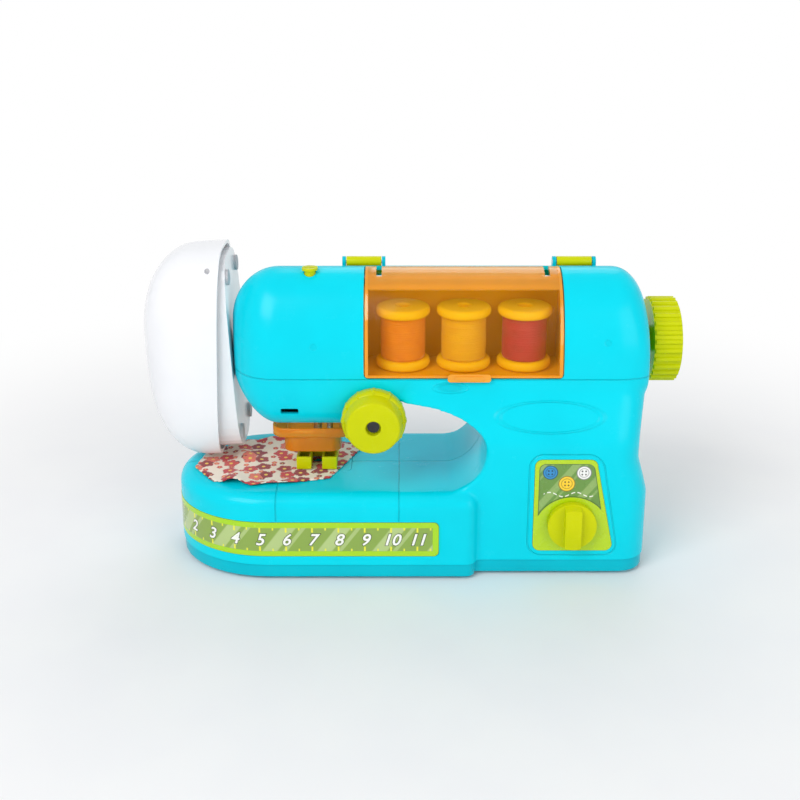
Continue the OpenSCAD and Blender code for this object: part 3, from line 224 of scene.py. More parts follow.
class Hue:
    """A colour that varies over a surface."""

    def __init__(self, tree: Tree, source: Socket | Colour) -> None:
        """Wraps a socket of a tree, or a plain colour."""
        self.tree = tree
        self.source = source

    def over(self, cover: Hue | Colour, amount: Val) -> Hue:
        """Lays another colour over this one, as far as amount, 0 to 1, lets it show."""
        node = added(self.tree, "ShaderNodeMix", {"data_type": "RGBA"}, {0: amount, 6: self, 7: cover})
        return Hue(self.tree, node.outputs[2])


class Shade:
    """One material's node tree: a Principled shader and the values that feed it."""

    def __init__(self, name: str) -> None:
        """Starts a material.

        Args:
            name: Its name.
        """
        self.material = bpy.data.materials.new(name)
        self.material.use_nodes = True
        self.tree = self.material.node_tree
        self.tree.nodes.clear()
        self.shader = added(self.tree, "ShaderNodeBsdfPrincipled")
        self.output = added(self.tree, "ShaderNodeOutputMaterial", None, {0: self.shader.outputs[0]})
        self.place = added(self.tree, "ShaderNodeTexCoord").outputs["Object"]

    def parts(self, kind: str, whole: Socket) -> tuple[Val, Val, Val]:
        """Splits a vector (XYZ) or a colour (Color) into its three numbers."""
        node = added(self.tree, f"ShaderNodeSeparate{kind}", None, {0: whole})
        return tuple(Val(self.tree, socket) for socket in node.outputs)

    def axes(self) -> tuple[Val, Val, Val]:
        """The point's place in the frame.

        Returns:
            X, Y and Z in millimetres.
        """
        sockets = {0: self.place, "Scale": 1 / MM}
        scaled = added(self.tree, "ShaderNodeVectorMath", {"operation": "SCALE"}, sockets)
        return self.parts("XYZ", scaled.outputs[0])

    def attribute(self, name: str) -> Val:
        """A number stored on the mesh under a name."""
        node = added(self.tree, "ShaderNodeAttribute", {"attribute_name": name})
        return Val(self.tree, node.outputs["Fac"])

    def vector(self, x: Val | float, y: Val | float, z: Val | float) -> Socket:
        """Joins three numbers into a vector."""
        return added(self.tree, "ShaderNodeCombineXYZ", None, {0: x, 1: y, 2: z}).outputs[0]

    def noise(self, cell: float, detail: float = 2.0, at: Socket | None = None) -> Val:
        """Smooth noise from about 0.3 to 0.7.

        Args:
            cell: Size of one lump, in millimetres.
            detail: How many finer layers are added.
            at: The vector to read, in millimetres; the place in the frame if left out.

        Returns:
            The noise.
        """
        scale = 1 / (cell * MM) if at is None else 1 / cell
        sockets = {"Scale": scale, "Detail": detail, "Vector": at or self.place}
        return Val(self.tree, added(self.tree, "ShaderNodeTexNoise", None, sockets).outputs[0])

    def hue(self, colour: Colour) -> Hue:
        """A plain colour to lay others over."""
        return Hue(self.tree, colour)

    def set(self, **constants: float) -> None:
        """Sets numbers that are the same all over the surface, on the shader's own sockets.

        Args:
            constants: Socket names with _ for spaces, and their values.
        """
        for name, value in constants.items():
            socket = self.shader.inputs[name.replace("_", " ").title().replace("Ior", "IOR")]
            socket.default_value = value

    def feed(self, name: str, value: Val | Hue) -> None:
        """Links a varying number or colour to a socket of the shader."""
        self.tree.links.new(value.source, self.shader.inputs[name])

    def relief(self, height: Val, depth: float) -> None:
        """Bumps the surface, where a height of 1 stands for a depth in millimetres."""
        sockets = {"Strength": 1.0, "Distance": depth * MM, "Height": height}
        self.feed("Normal", Val(self.tree, added(self.tree, "ShaderNodeBump", None, sockets).outputs[0]))

    def mixed(self, amount: Val, first: Socket, second: Socket) -> None:
        """Sends a mix of two shaders to the output, the second as far as amount, 0 to 1."""
        mix = added(self.tree, "ShaderNodeMixShader", None, {0: amount, 1: first, 2: second})
        self.tree.links.new(mix.outputs[0], self.output.inputs[0])


Lines = Callable[[Shade], Val]


@dataclass(frozen=True)
class Finish:
    """A named surface, which each kind of finish lays on in its own way."""

    name: str

    def paint(self, shade: Shade) -> None:
        """Lays on the finish."""
        raise NotImplementedError

    def made(self) -> Material:
        """Builds the material.

        Returns:
            The finished material.
        """
        shade = Shade(self.name)
        self.paint(shade)
        return shade.material


@dataclass(frozen=True)
class Moulded(Finish):
    """Injection-moulded plastic: gloss, fine grain, a little unevenness, handling marks, and painted shade in
    its grooves.
    """

    colour: Colour
    deep: Colour
    rough: float = 0.24
    coat: float = 0.05
    shine: float = 0.12
    grain: float = 0.012
    groove: float = 0.5
    lines: Lines | None = None

    def paint(self, shade: Shade) -> None:
        """Lays on the finish.

        Args:
            shade: The material in the making.
        """
        flow = shade.noise(46.0, 3.0)
        fine = shade.noise(0.55, 1.0)
        scuff = shade.noise(9.0, 3.0)
        hue = shade.hue(self.colour).over(self.deep, flow.step(0.34, 0.78) * 0.45)
        height = fine * 0.12 + flow.step(0.3, 0.7) * 0.08
        if self.lines:
            sunk = self.lines(shade)
            # painted shade: grooves, seams and sunk marks darkened in colour, over their real bump
            hue = hue.over(toned(self.deep, 0.4), sunk.low(1.0).high(0.0) * 0.22)
            shade.relief(height * (self.grain / self.groove) + (1.0 - sunk), self.groove)
        else:
            shade.relief(height, self.grain * 8)
        shade.feed("Base Color", hue)
        shade.feed("Roughness", scuff.step(0.42, 0.72) * 0.04 + fine * 0.03 + (self.rough - 0.02))
        shade.set(coat_weight=self.coat, coat_roughness=0.12, specular_ior_level=self.shine, ior=1.46)


@dataclass(frozen=True)
class Amber(Finish):
    """Clear tinted plastic, seen through, and fuller in colour at its edges."""

    tint: Colour
    body: Colour
    cover: float = 0.22
    edge: float = 0.55
    thick: Lines | None = None
    coat: float = 0.6

    def paint(self, shade: Shade) -> None:
        """Lays on the finish.

        Args:
            shade: The material in the making.
        """
        flow = shade.noise(22.0, 2.0).step(0.3, 0.7)
        facing = added(shade.tree, "ShaderNodeLayerWeight", None, {0: 0.35})
        rim = Val(shade.tree, facing.outputs["Facing"])
        shade.feed("Base Color", shade.hue(self.body).over(toned(self.body, 0.72), flow * 0.4))
        shade.feed("Roughness", shade.noise(5.0, 3.0).step(0.4, 0.75) * 0.09 + 0.07)
        shade.set(coat_weight=self.coat, coat_roughness=0.05, ior=1.5)
        shade.relief(shade.noise(0.9, 1.0), 0.02)
        amount = rim.step(0.35, 1.0) * self.edge + flow * 0.03 + self.cover
        if self.thick:
            amount = (amount + self.thick(shade) * 0.84).low(0.94)
        clear = added(shade.tree, "ShaderNodeBsdfTransparent", None, {0: self.tint})
        shade.mixed(amount, clear.outputs[0], shade.shader.outputs[0])


def lid_edges(shade: Shade) -> Val:
    """Where the lid is seen through its thickness: its ends with the cheeks, its lower rim and the tab.

    Args:
        shade: The lid's material.

    Returns:
        1 there, 0 on the clear pane.
    """
    x, y, z = shade.axes()
    ends = abs(x - 30.0).step(52.9, 53.4) * 0.8
    rim = z.step(117.5, 117.0) * 0.9
    tab = y.step(-31.05, -31.25)
    return ends.high(rim).high(tab).high(z.step(162.4, 163.6) * 0.55)


@dataclass(frozen=True)
class Metal(Finish):
    """Drawn or turned steel with fine drag lines."""

    colour: Colour
    rough: float = 0.26

    def paint(self, shade: Shade) -> None:
        """Lays on the finish.

        Args:
            shade: The material in the making.
        """
        x, y, z = shade.axes()
        drag = shade.noise(1.0, 2.0, shade.vector(x * 0.4, y * 6.0, z * 6.0))
        stain = shade.noise(7.0, 3.0).step(0.4, 0.8)
        shade.feed("Base Color", shade.hue(self.colour).over(toned(self.colour, 0.6), stain * 0.5))
        shade.feed("Roughness", drag * 0.2 + (self.rough - 0.08))
        shade.set(metallic=1.0)
        shade.relief(drag, 0.03)


@dataclass(frozen=True)
class Rubber(Finish):
    """Matt rubber with a dusty bloom."""

    colour: Colour

    def paint(self, shade: Shade) -> None:
        """Lays on the finish.

        Args:
            shade: The material in the making.
        """
        dust = shade.noise(4.0, 4.0)
        bloom = toned(self.colour, 0.85, 0.06)
        shade.feed("Base Color", shade.hue(self.colour).over(bloom, dust.step(0.45, 0.8) * 0.6))
        shade.feed("Roughness", dust * 0.25 + 0.62)
        shade.relief(shade.noise(0.4, 2.0), 0.05)


@dataclass(frozen=True)
class Thread(Finish):
    """Wound sewing thread: a twist along each strand, with the gaps between turns darkened as painted shade.
    """

    colour: Colour
    deep: Colour

    def paint(self, shade: Shade) -> None:
        """Lays on the finish.

        Args:
            shade: The material in the making.
        """
        along, around = shade.attribute("along"), shade.attribute("around")
        ply = (along * 5.2 + around * (4 * math.pi)).math("SINE")
        lint = shade.noise(0.35, 3.0)
        patch = shade.noise(6.0, 2.0)
        # painted shade: the twist's grooves darkened in colour, over their real bump
        hue = shade.hue(self.colour).over(self.deep, ply.step(0.2, -0.9) * 0.45)
        hue = hue.over(self.deep, patch.step(0.42, 0.75) * 0.4)
        hue = hue.over(toned(self.colour, 1.35, 0.03), lint.step(0.6, 0.8) * 0.35)
        shade.feed("Base Color", hue)
        shade.feed("Roughness", lint * 0.2 + 0.46)
        shade.set(sheen_weight=0.35, sheen_roughness=0.4)
        shade.relief(ply * 0.5 + lint, 0.09)


@dataclass(frozen=True)
class Print(Finish):
    """Printed cotton: a plain weave under small scattered blossoms."""

    ground: Colour
    inks: tuple[Colour, Colour, Colour]
    eye: Colour
    leaf: Colour
    pitch: float = 11.0
    weave: float = 14.0

    def blossoms(self, shade: Shade, hue: Hue, pitch: float, turn: float, size: float) -> Hue:
        """Prints one layer of five-lobed blossoms.

        Args:
            shade: The material.
            hue: The colour so far.
            pitch: Mean spacing in millimetres.
            turn: An angle that sets this layer off from the others.
            size: Radius as a share of the spacing.

        Returns:
            The colour with the blossoms.
        """
        x, y, _ = shade.axes()
        c, s = math.cos(turn) / pitch, math.sin(turn) / pitch
        u, v = x * c + y * s, y * c - x * s
        sockets = {"Scale": 1.0, "Randomness": 0.75, "Vector": shade.vector(u, v, 0.0)}
        cell = added(shade.tree, "ShaderNodeTexVoronoi", {"voronoi_dimensions": "2D"}, sockets).outputs
        middle_u, middle_v, _ = shade.parts("XYZ", cell["Position"])
        pick, spin, _ = shade.parts("Color", cell["Color"])
        away = Val(shade.tree, cell["Distance"])
        angle = (v - middle_v).math("ARCTAN2", u - middle_u)
        lobe = abs((angle * 2.5 + spin * 6.28).math("COSINE"))
        reach = lobe * (0.42 * size) + 0.66 * size
        petal = (away - reach).step(0.03, -0.03)
        leafy = (away - reach * 1.28).step(0.03, -0.03) * lobe.step(0.35, 0.2)
        first, second, third = self.inks
        ink = shade.hue(first).over(second, pick.step(0.34, 0.36)).over(third, pick.step(0.67, 0.69))
        hue = hue.over(self.leaf, leafy).over(ink, petal)
        return hue.over(self.eye, away.step(0.24 * size + 0.02, 0.24 * size - 0.02))

    def paint(self, shade: Shade) -> None:
        """Lays on the finish.

        Args:
            shade: The material in the making.
        """
        x, y, _ = shade.axes()
        weave = (x * self.weave).math("SINE") * (y * self.weave).math("SINE")
        hue = self.blossoms(shade, shade.hue(self.ground), self.pitch * 0.62, 0.7, 0.25)
        hue = self.blossoms(shade, hue, self.pitch, 0.2, 0.4)
        hue = hue.over(toned(self.ground, 0.55), weave.step(0.1, 1.0) * 0.16)
        shade.feed("Base Color", hue)
        shade.feed("Roughness", shade.noise(2.0, 2.0) * 0.2 + 0.72)
        shade.set(sheen_weight=0.25, sheen_roughness=0.5)
        shade.relief(weave * 0.5 + shade.noise(0.5, 2.0), 0.06)


def linked(name: str, data: bpy.types.ID) -> Piece:
    """Makes an object and puts it into the scene.

    Args:
        name: Its name.
        data: Its mesh, text, camera or lamp.

    Returns:
        The object.
    """
    piece = bpy.data.objects.new(name, data)
    bpy.context.scene.collection.objects.link(piece)
    return piece


def circling(steps: int) -> list[float]:
    """Angles in even steps once round."""
    return [2 * math.pi * k / steps for k in range(steps)]


class Form:
    """A mesh in the making, in millimetres."""

    def __init__(self) -> None:
        """Starts with nothing."""
        self.points: list[Point] = []
        self.faces: list[Sequence[int]] = []
        self.numbers: dict[str, list[float]] = {}

    def ring(self, points: Iterable[Point]) -> list[int]:
        """Adds points.

        Args:
            points: The points.

        Returns:
            Their indices.
        """
        start = len(self.points)
        self.points.extend(points)
        return list(range(start, len(self.points)))

    def bridge(self, first: Sequence[int], second: Sequence[int]) -> None:
        """Joins two rings of equal count with quads.

        Args:
            first: One ring's indices.
            second: The other's.
        """
        for k in range(len(first)):
            n = (k + 1) % len(first)
            self.faces.append((first[k], first[n], second[n], second[k]))

    def loft(self, rings: Sequence[Iterable[Point]], loop: bool = False) -> Form:
        """Joins rings in order into a closed skin.

        Args:
            rings: Rings of equal count.
            loop: Join the last ring to the first, instead of a face over each end.

        Returns:
            This form.
        """
        made = [self.ring(points) for points in rings]
        for first, second in zip(made, made[1:]):
            self.bridge(first, second)
        if loop:
            self.bridge(made[-1], made[0])
        else:
            self.faces += [tuple(reversed(made[0])), tuple(made[-1])]
        return self

    def block(self, low: Point, high: Point) -> Form:
        """Adds a box.

        Args:
            low: Its lowest corner.
            high: Its highest corner.

        Returns:
            This form.
        """
        (x0, y0, z0), (x1, y1, z1) = low, high
        flat = ((x0, y0), (x1, y0), (x1, y1), (x0, y1))
        return self.loft([[(x, y, z) for x, y in flat] for z in (z0, z1)])

    def prism(self, outline: Sequence[Point], low: float, high: float, axis: str = "z") -> Form:
        """Adds a straight prism.

        Args:
            outline: The outline in the other two axes, in their order.
            low: Where it starts along the axis.
            high: Where it ends.
            axis: x, y or z.

        Returns:
            This form.
        """
        slot = "xyz".index(axis)
        return self.loft([[(*p[:slot], level, *p[slot:]) for p in outline] for level in (low, high)])

    def lathe(self, profile: Sequence[Point], sides: int) -> Form:
        """Turns a closed profile of (radius, height) about the Z axis.

        Args:
            profile: The profile, as a loop clear of the axis.
            sides: Steps round.

        Returns:
            This form.
        """
        turns = circling(sides)
        return self.loft([[(r * math.cos(a), r * math.sin(a), h) for a in turns] for r, h in profile], True)

    def placed(self, matrix: Matrix) -> Form:
        """Moves all points by a matrix in millimetres."""
        self.points = [tuple(matrix @ Vector(point)) for point in self.points]
        return self

    def made(self, name: str, crease: float = 35.0) -> Piece:
        """Makes the Blender object.

        Args:
            name: The object's name.
            crease: Edges sharper than this stay sharp, in degrees.

        Returns:
            The object, at the origin.
        """
        mesh = bpy.data.meshes.new(name)
        mesh.from_pydata([[v * MM for v in p] for p in self.points], [], self.faces)
        for key, values in self.numbers.items():
            mesh.attributes.new(key, "FLOAT", "POINT").data.foreach_set("value", values)
        piece = linked(name, mesh)
        work = bmesh.new()
        work.from_mesh(mesh)
        bmesh.ops.recalc_face_normals(work, faces=work.faces)
        work.to_mesh(mesh)
        work.free()
        smooth(mesh, crease)
        return piece


def smooth(mesh: bpy.types.Mesh, crease: float) -> None:
    """Shades a mesh smooth, with edges over an angle left sharp."""
    mesh.shade_smooth()
    mesh.set_sharp_from_angle(angle=math.radians(crease))


def settled(piece: Piece, crease: float | None = None) -> Piece:
    """Turns a piece's modifiers into plain mesh.

    Args:
        piece: The piece.
        crease: Shade it smooth with this angle afterwards.

    Returns:
        The same piece.
    """
    graph = bpy.context.evaluated_depsgraph_get()
    mesh = bpy.data.meshes.new_from_object(piece.evaluated_get(graph), depsgraph=graph)
    piece.modifiers.clear()
    piece.data = mesh
    if crease is not None:
        smooth(mesh, crease)
    return piece


class Cut(Enum):
    """What a form does to the piece that it meets."""

    AWAY = "DIFFERENCE"
    ADD = "UNION"
    KEEP = "INTERSECT"


def carved(piece: Piece, tools: Iterable[Form], cut: Cut = Cut.AWAY) -> Piece:
    """Cuts closed forms out of a closed piece, adds them, or keeps what lies in them.

    Args:
        piece: The piece.
        tools: The forms.
        cut: What each form does.

    Returns:
        The same piece.
    """
    made = [tool.made("tool") for tool in tools]
    for tool in made:
        step = piece.modifiers.new("cut", "BOOLEAN")
        step.operation, step.solver, step.object = cut.value, "MANIFOLD", tool
    settled(piece)
    for tool in made:
        bpy.data.objects.remove(tool)
    return piece


def rounded(piece: Piece, width: float, steps: int, angle: float) -> Piece:
    """Rounds a piece's sharp edges.

    Args:
        piece: The piece.
        width: Width of the rounding in millimetres.
        steps: Segments in it.
        angle: Edges sharper than this are rounded, in degrees.

    Returns:
        The same piece.
    """
    step = piece.modifiers.new("round", "BEVEL")
    step.width, step.segments, step.limit_method = width * MM, steps, "ANGLE"
    step.angle_limit = math.radians(angle)
    step.use_clamp_overlap = True
    step.harden_normals = False
    return settled(piece, 40.0)


def shifted(piece: Piece, matrix: Matrix) -> None:
    """Moves a piece's mesh by a matrix in millimetres."""
    piece.data.transform(Matrix.Scale(MM, 4) @ matrix @ Matrix.Scale(1 / MM, 4))


def dressed(piece: Piece, finish: Material, body: str, slot: str, *nodes: str) -> Piece:
    """Gives a piece its finish and its place on the frame, and reports it.

    Args:
        piece: The piece.
        finish: Its material.
        body: The CAD body that it moves with.
        slot: The record's material slot; not used.
        nodes: The CAD nodes that it stands for.

    Returns:
        The same piece.
    """
    piece.data.materials.clear()
    piece.data.materials.append(finish)
    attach(piece, body)
    if nodes:
        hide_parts(*nodes)
    LOG.info("%s rides on %s in %s", piece.name, body, finish.name)
    return piece


def corner(x: float, y: float, r: float, start: float, steps: int = 6) -> list[Point]:
    """A quarter circle, anticlockwise from an angle in degrees."""
    angles = [math.radians(start + 90 * k / steps) for k in range(steps + 1)]
    return [(x + r * math.cos(a), y + r * math.sin(a)) for a in angles]


def tablet(x0: float, y0: float, x1: float, y1: float, r: float, steps: int = 6) -> list[Point]:
    """A rectangle with round corners."""
    spots = ((x1 - r, y0 + r, 270), (x1 - r, y1 - r, 0), (x0 + r, y1 - r, 90), (x0 + r, y0 + r, 180))
    return [point for x, y, start in spots for point in corner(x, y, r, start, steps)]


def disc(x: float, y: float, r: float, steps: int = 40) -> list[Point]:
    """A circle as points."""
    return [(x + r * math.cos(a), y + r * math.sin(a)) for a in circling(steps)]


def rises(t: float) -> float:
    """A quarter of a circle, steep at 0 and level at 1."""
    return math.sqrt(max(0.0, 1 - (1 - t) ** 2))


def eases(t: float) -> float:
    """A smooth step."""
    return t * t * (3 - 2 * t)


def within(value: float, low: float, high: float) -> float:
    """A value held between two others."""
    return max(low, min(high, value))


def boxy(v: float, power: float = 3.2) -> float:
    """A cosine or sine pushed towards a square."""
    return math.copysign(abs(v) ** (2 / power), v)


def label_outline(grow: float) -> list[Point]:
    """The label's outline on the column's front, in X and Z, a little grown."""
    spots = ((111, 20, 270), (101, 68, 0), (74, 68, 90), (74, 20, 180))
    return [point for x, z, start in spots for point in corner(x, z, 4 + grow, start)]


def label_inset(x: Val, z: Val, core: float) -> Val:
    """How far a spot of the column's front lies inside the label's outline.

    Args:
        x: The spot's X in millimetres.
        z: The spot's Z.
        core: The greatest depth told apart, which also rounds the corners.

    Returns:
        Millimetres inside the outline, below 0 outside.
    """
    right = 115.0 - (z - 16.0) * (10.0 / 56.0)
    across = (70.0 + core - x).high((x - right) * 0.985 + core).high(0.0)
    up = (16.0 + core - z).high(z - (72.0 - core)).high(0.0)
    return core - across.hypot(up)


def case_lines(shade: Shade) -> Val:
    """Grooves and sunk marks of the case: the belt line, the seams and the small front features.

    Args:
        shade: The case's material.

    Returns:
        1 in a groove, 0 on the plain surface, and below 0 on a raised rim.
    """
    x, y, z = shade.axes()
    front = y.step(-2.0, -4.0)
    belt = (z - 115.0).band(0.35, 0.3) * x.step(-120.0, -110.0) * 0.8
    parting = y.band(0.3, 0.3) * 0.8
    low = z.step(53.5, 52.6) * z.step(36.6, 37.4)
    seams = ((x + 75.0).band(0.3, 0.25) + (x + 6.0).band(0.3, 0.25)) * low * 0.8

    def oval(cx: float, cz: float, half_w: float, half_h: float) -> Val:
        """Distance from a middle on the front, 1 on the oval's edge."""
        return ((x - cx) / half_w).hypot((z - cz) / half_h)

    ridge = ((oval(78.0, 95.0, 29.0, 8.0) - 1.0) * 8.0).band(0.45, 0.4) * front * -1.1
    scoop = oval(22.8, 110.4, 9.2, 2.9)
    dish = (scoop.step(1.0, 0.55) * 1.1 - ((scoop - 1.08) * 6.0).band(0.3, 0.3) * 0.5) * front
    left, right = oval(-53.2, 133.7, 2.2, 2.2), oval(109.4, 135.9, 2.2, 2.2)
    sinks = (left.step(1.05, 0.6) + right.step(1.05, 0.6)) * front * 0.5
    framed = (label_inset(x, z, 5.0) + 3.0).band(0.4, 0.3) * y.step(-41.0, -42.0) * 0.8
    return belt + parting + seams + ridge + dish + sinks + framed


@dataclass
class Casing:
    """The two-piece moulded case: bed, column and arm in one smooth form, parted on the middle plane."""

    wall: float = 2.4
    voxel: float = 1.15
    soften: int = 9
    hollow_voxel: float = 2.4
    hollow_soften: int = 2
    steps: int = 72
    gap: float = 0.08
    skirt: float = 10.0
    arm_x: tuple[float, float] = (-101.5, 135.0)
    arm_half: float = 31.0
    arm_low: float = 101.5
    shoulder: float = 118.0
    top: float = 172.0
    nose_z: tuple[float, float] = (110.0, 141.0)
    head_x: tuple[float, float] = (-74.5, -14.0)
    head_low: float = 82.0
    tail_x: float = 115.0
    tail_half: float = 22.0
    bed_x: tuple[float, float] = (-80.0, 38.0)
    bed_round: float = 56.0
    bed_half: float = 48.5
    bed_corner: float = 6.0
    bed_top: float = 52.0
    bed_roll: float = 8.0
    column_half: float = 42.5
    column_right: float = 136.0
    column_corner: float = 16.0
    throat: tuple[float, float, float] = (18.0, 76.5, 25.0)
    arch: float = -12.0
    ruler_right: float = 16.4
    ruler_end: float = 3.1
    ruler_z: tuple[float, float] = (15.6, 36.4)
    ruler_corner: float = 3.0
    screws: tuple[Point, ...] = ((-84, 140), (118, 150), (124, 26), (-104, 28), (8, 28))

    def section(self, x: float, top: float, bottom: float, half: float) -> list[Point]:
        """One ring of the arm: a half ellipse over a squarer half.

        Args:
            x: Where the ring lies.
            top: Its highest Z.
            bottom: Its lowest Z.
            half: Half its depth.

        Returns:
            The ring.
        """
        ring = []
        for a in circling(self.steps):
            c, s = math.cos(a), math.sin(a)
            if s >= 0:
                ring.append((x, half * c, self.shoulder + (top - self.shoulder) * s))
            else:
                ring.append((x, half * boxy(c), self.shoulder + (self.shoulder - bottom) * boxy(s)))
        return ring

    def arm(self, inset: float) -> Form:
        """The arm from the nose to the wheel end.

        Args:
            inset: How far inside the outer skin.

        Returns:
            A closed form.
        """
        (start, end), (head, step), (nose_low, nose_high) = self.arm_x, self.head_x, self.nose_z
        top, low, half, drop = self.top, self.arm_low, self.arm_half, self.top - nose_high
        spans: list[tuple[float, float, float, float]] = []
        for k in range(1, 33):
            t = (k / 32) ** 2
            bottom = nose_low - (nose_low - self.head_low) * (1 - (1 - t) ** 2)
            spans.append((start + (head - start) * t, nose_high + drop * rises(t), bottom, half * rises(t)))
        spans += [(head + (step - head) * k / 12, top, self.head_low, half) for k in range(1, 13)]
        for k in range(1, 11):
            spans.append((step + 1.4 * k, top, self.head_low + (low - self.head_low) * eases(k / 10), half))
        spans += [(self.tail_x * k / 16, top, low, half) for k in range(1, 17)]
        for k in range(1, 19):
            t = (1 - k / 19) ** 1.6
            shrink = 1 - rises(t)
            x = end - (end - self.tail_x) * t
            spans.append((x, top - drop * shrink, low, half - (half - self.tail_half) * shrink))
        rings = []
        for x, high, bottom, deep in spans:
            shift = inset * (1 - 2 * (x - start) / (end - start))
            if deep - inset > 0.8:
                rings.append(self.section(x + shift, high - inset, bottom + inset, deep - inset))
        return Form().loft(rings)

    def rim(self, a: float, inset: float = 0.0) -> tuple[float, float]:
        """A point of the bed's round end, by its angle."""
        x = self.bed_x[0] + (self.bed_round - inset) * math.cos(a)
        return x, (self.bed_half - inset) * math.sin(a)

    def heading(self, a: float) -> float:
        """The way that the bed's round end faces at an angle of its outline."""
        return math.atan2(math.sin(a) / self.bed_half, math.cos(a) / self.bed_round)

    def plan(self, inset: float) -> list[Point]:
        """The bed's outline: a long round end on the left and small corners on the right.

        Args:
            inset: How far inside the outer skin.

        Returns:
            The outline in X and Y.
        """
        ring = [self.rim(math.radians(90 + 180 * k / 40), inset) for k in range(41)]
        half, r = self.bed_half - inset, max(0.5, self.bed_corner - inset)
        right = self.bed_x[1] - inset - r
        return ring + corner(right, -half + r, r, 270) + corner(right, half - r, r, 0)

    def base(self, inset: float, low: float) -> Form:
        """The bed with its rolled top edge.

        Args:
            inset: How far inside the outer skin.
            low: Where it starts.

        Returns:
            A closed form.
        """
        rings = [[(*p, low) for p in self.plan(inset)]]
        for k in range(13):
            a = math.radians(90 * k / 12)
            z = self.bed_top - self.bed_roll - inset + self.bed_roll * math.sin(a)
            rings.append([(*p, z) for p in self.plan(inset + self.bed_roll * (1 - math.cos(a)))])
        return Form().loft(rings)

    def column(self, inset: float, low: float) -> Form:
        """The column, leaning in to meet the arm.

        Args:
            inset: How far inside the outer skin.
            low: Where it starts.

        Returns:
            A closed form.
        """
        foot = ((low, 0.0), (48.0, 0.0), (58.0, 2.6), (68.0, 5.5), (72.0, 5.6))
        levels = [(z, self.column_half, pinch) for z, pinch in foot]
        for k in range(13):
            t = eases(k / 12)
            lean = (self.column_half - self.arm_half) * t
            levels.append((76 + 36 * (k / 12), self.column_half - lean, 5.5 - 4 * t))
        levels.append((119 - inset, 26.0, 6.5))
        rings = []
        for z, half, pinch in levels:
            right, half, r = self.column_right - pinch - inset, half - inset, self.column_corner - inset
            rings.append([(*p, z) for p in tablet(self.arch + inset, -half, right, half, r, 10)])
        return Form().loft(rings)

    def solid(self, name: str, inset: float, voxel: float, soften: int) -> Piece:
        """Arm, bed and column grown into one closed form.

        Args:
            name: The object's name.
            inset: How far inside the outer skin.
            voxel: Grain of the joining, in millimetres.
            soften: Smoothing rounds, which also fillet the corners.

        Returns:
            The joined object.
        """
        low = 2.0 if inset == 0 else -6.0
        x, z, r = self.throat
        wide, tall = x + r + inset - self.arch, r + inset
        turns = [math.radians(90 * k / 32) for k in range(33)]
        bay = [(self.arch + wide * math.cos(a), z + tall * math.sin(a)) for a in turns]
        bay += [(self.arch - 9, z + tall), (self.arch - 9, z - tall)]
        bay += [(x + tall * math.sin(a), z - tall * math.cos(a)) for a in turns[:-1]]
        column = carved(self.column(inset, low).made(name), [Form().prism(bay, -90, 90, "y")])
        whole = bmesh.new()
        whole.from_mesh(column.data)
        for part in (self.arm(inset).made("arm"), self.base(inset, low).made("base")):
            whole.from_mesh(part.data)
            bpy.data.objects.remove(part)
        whole.to_mesh(column.data)
        whole.free()
        grow = column.modifiers.new("grow", "REMESH")
        grow.mode, grow.voxel_size, grow.use_smooth_shade = "VOXEL", voxel * MM, True
        relax = column.modifiers.new("relax", "SMOOTH")
        relax.factor, relax.iterations = 0.5, soften
        return settled(column)

    def strip(self, inner: float, outer: float, grow: float = 0.0) -> Form:
        """A curved bar round the bed's front, as long as the ruler.

        Args:
            inner: Depth of its back under the bed's surface.
            outer: Height of its face over the surface.
            grow: How much longer and taller than the ruler, on each side.

        Returns:
            A closed form whose along attribute holds the run along the face.
        """
        right, r = self.ruler_right + grow, self.ruler_corner
        low, high = self.ruler_z[0] - grow, self.ruler_z[1] + grow
        angles = [math.radians(180 + 90 * k / 48) for k in range(49)]
        track = [(*self.rim(a), self.heading(a)) for a in angles if self.rim(a)[1] < grow - self.ruler_end]
        start = self.bed_x[0]
        ahead = [start + (right - r - start) * k / 40 for k in range(1, 41)]
        ahead += [right - r + r * math.sin(math.radians(11 * k)) for k in range(1, 9)]
        track += [(x, -self.bed_half, FRONT) for x in ahead]
        rings, runs, run = [], [], 0.0
        for k, (x, y, a) in enumerate(track):
            run += math.dist((x, y), track[k - 1][:2]) if k else 0.0
            runs.append(run)
            c, s = math.cos(a), math.sin(a)
            back, face = (x - c * inner, y - s * inner), (x + c * outer, y + s * outer)
            nip = r - math.sqrt(r * r - max(0.0, x - right + r) ** 2)
            rings.append([(*back, low + nip), (*face, low + nip), (*face, high - nip), (*back, high - nip)])
        form = Form().loft(rings)
        form.numbers["along"] = [run - runs[-1] + track[-1][0] for run in runs for _ in range(4)]
        return form

    def build(self, finish: Material) -> None:
        """Makes the two halves.

        Args:
            finish: The case's plastic.
        """
        hollow = self.solid("hollow", self.wall, self.hollow_voxel, self.hollow_soften)
        room = Form()
        room.points = [tuple(c / MM for c in v.co) for v in hollow.data.vertices]
        room.faces = [tuple(p.vertices) for p in hollow.data.polygons]
        bpy.data.objects.remove(hollow)
        front = self.solid("case_front", 0.0, self.voxel, self.soften)
        rear = linked("case_rear", front.data.copy())
        for piece, node, low, high, cuts in (
            (front, "front_shell", -90.0, -self.gap, self.front_cuts()),
            (rear, "rear_shell", self.gap, 90.0, self.rear_cuts()),
        ):
            carved(piece, [Form().block((-200, low, self.skirt), (200, high, 200))], Cut.KEEP)
            carved(piece, [room, *self.openings(), *cuts])
            smooth(piece.data, 32.0)
            dressed(piece, finish, "machine", "turquoise", node)

    def openings(self) -> list[Form]:
        """Openings that both halves share: under the head, and the needle plate's seat.

        Returns:
            The forms to cut away.
        """
        return [
            Form().block((-70, -10, 80), (-42, 10, 90)),
            Form().prism(tablet(-78.2, -14.2, -33.8, 14.2, 4.2), 50.1, 56),
            Form().block((-71, -7, 44), (-41, 7, 54)),
        ]

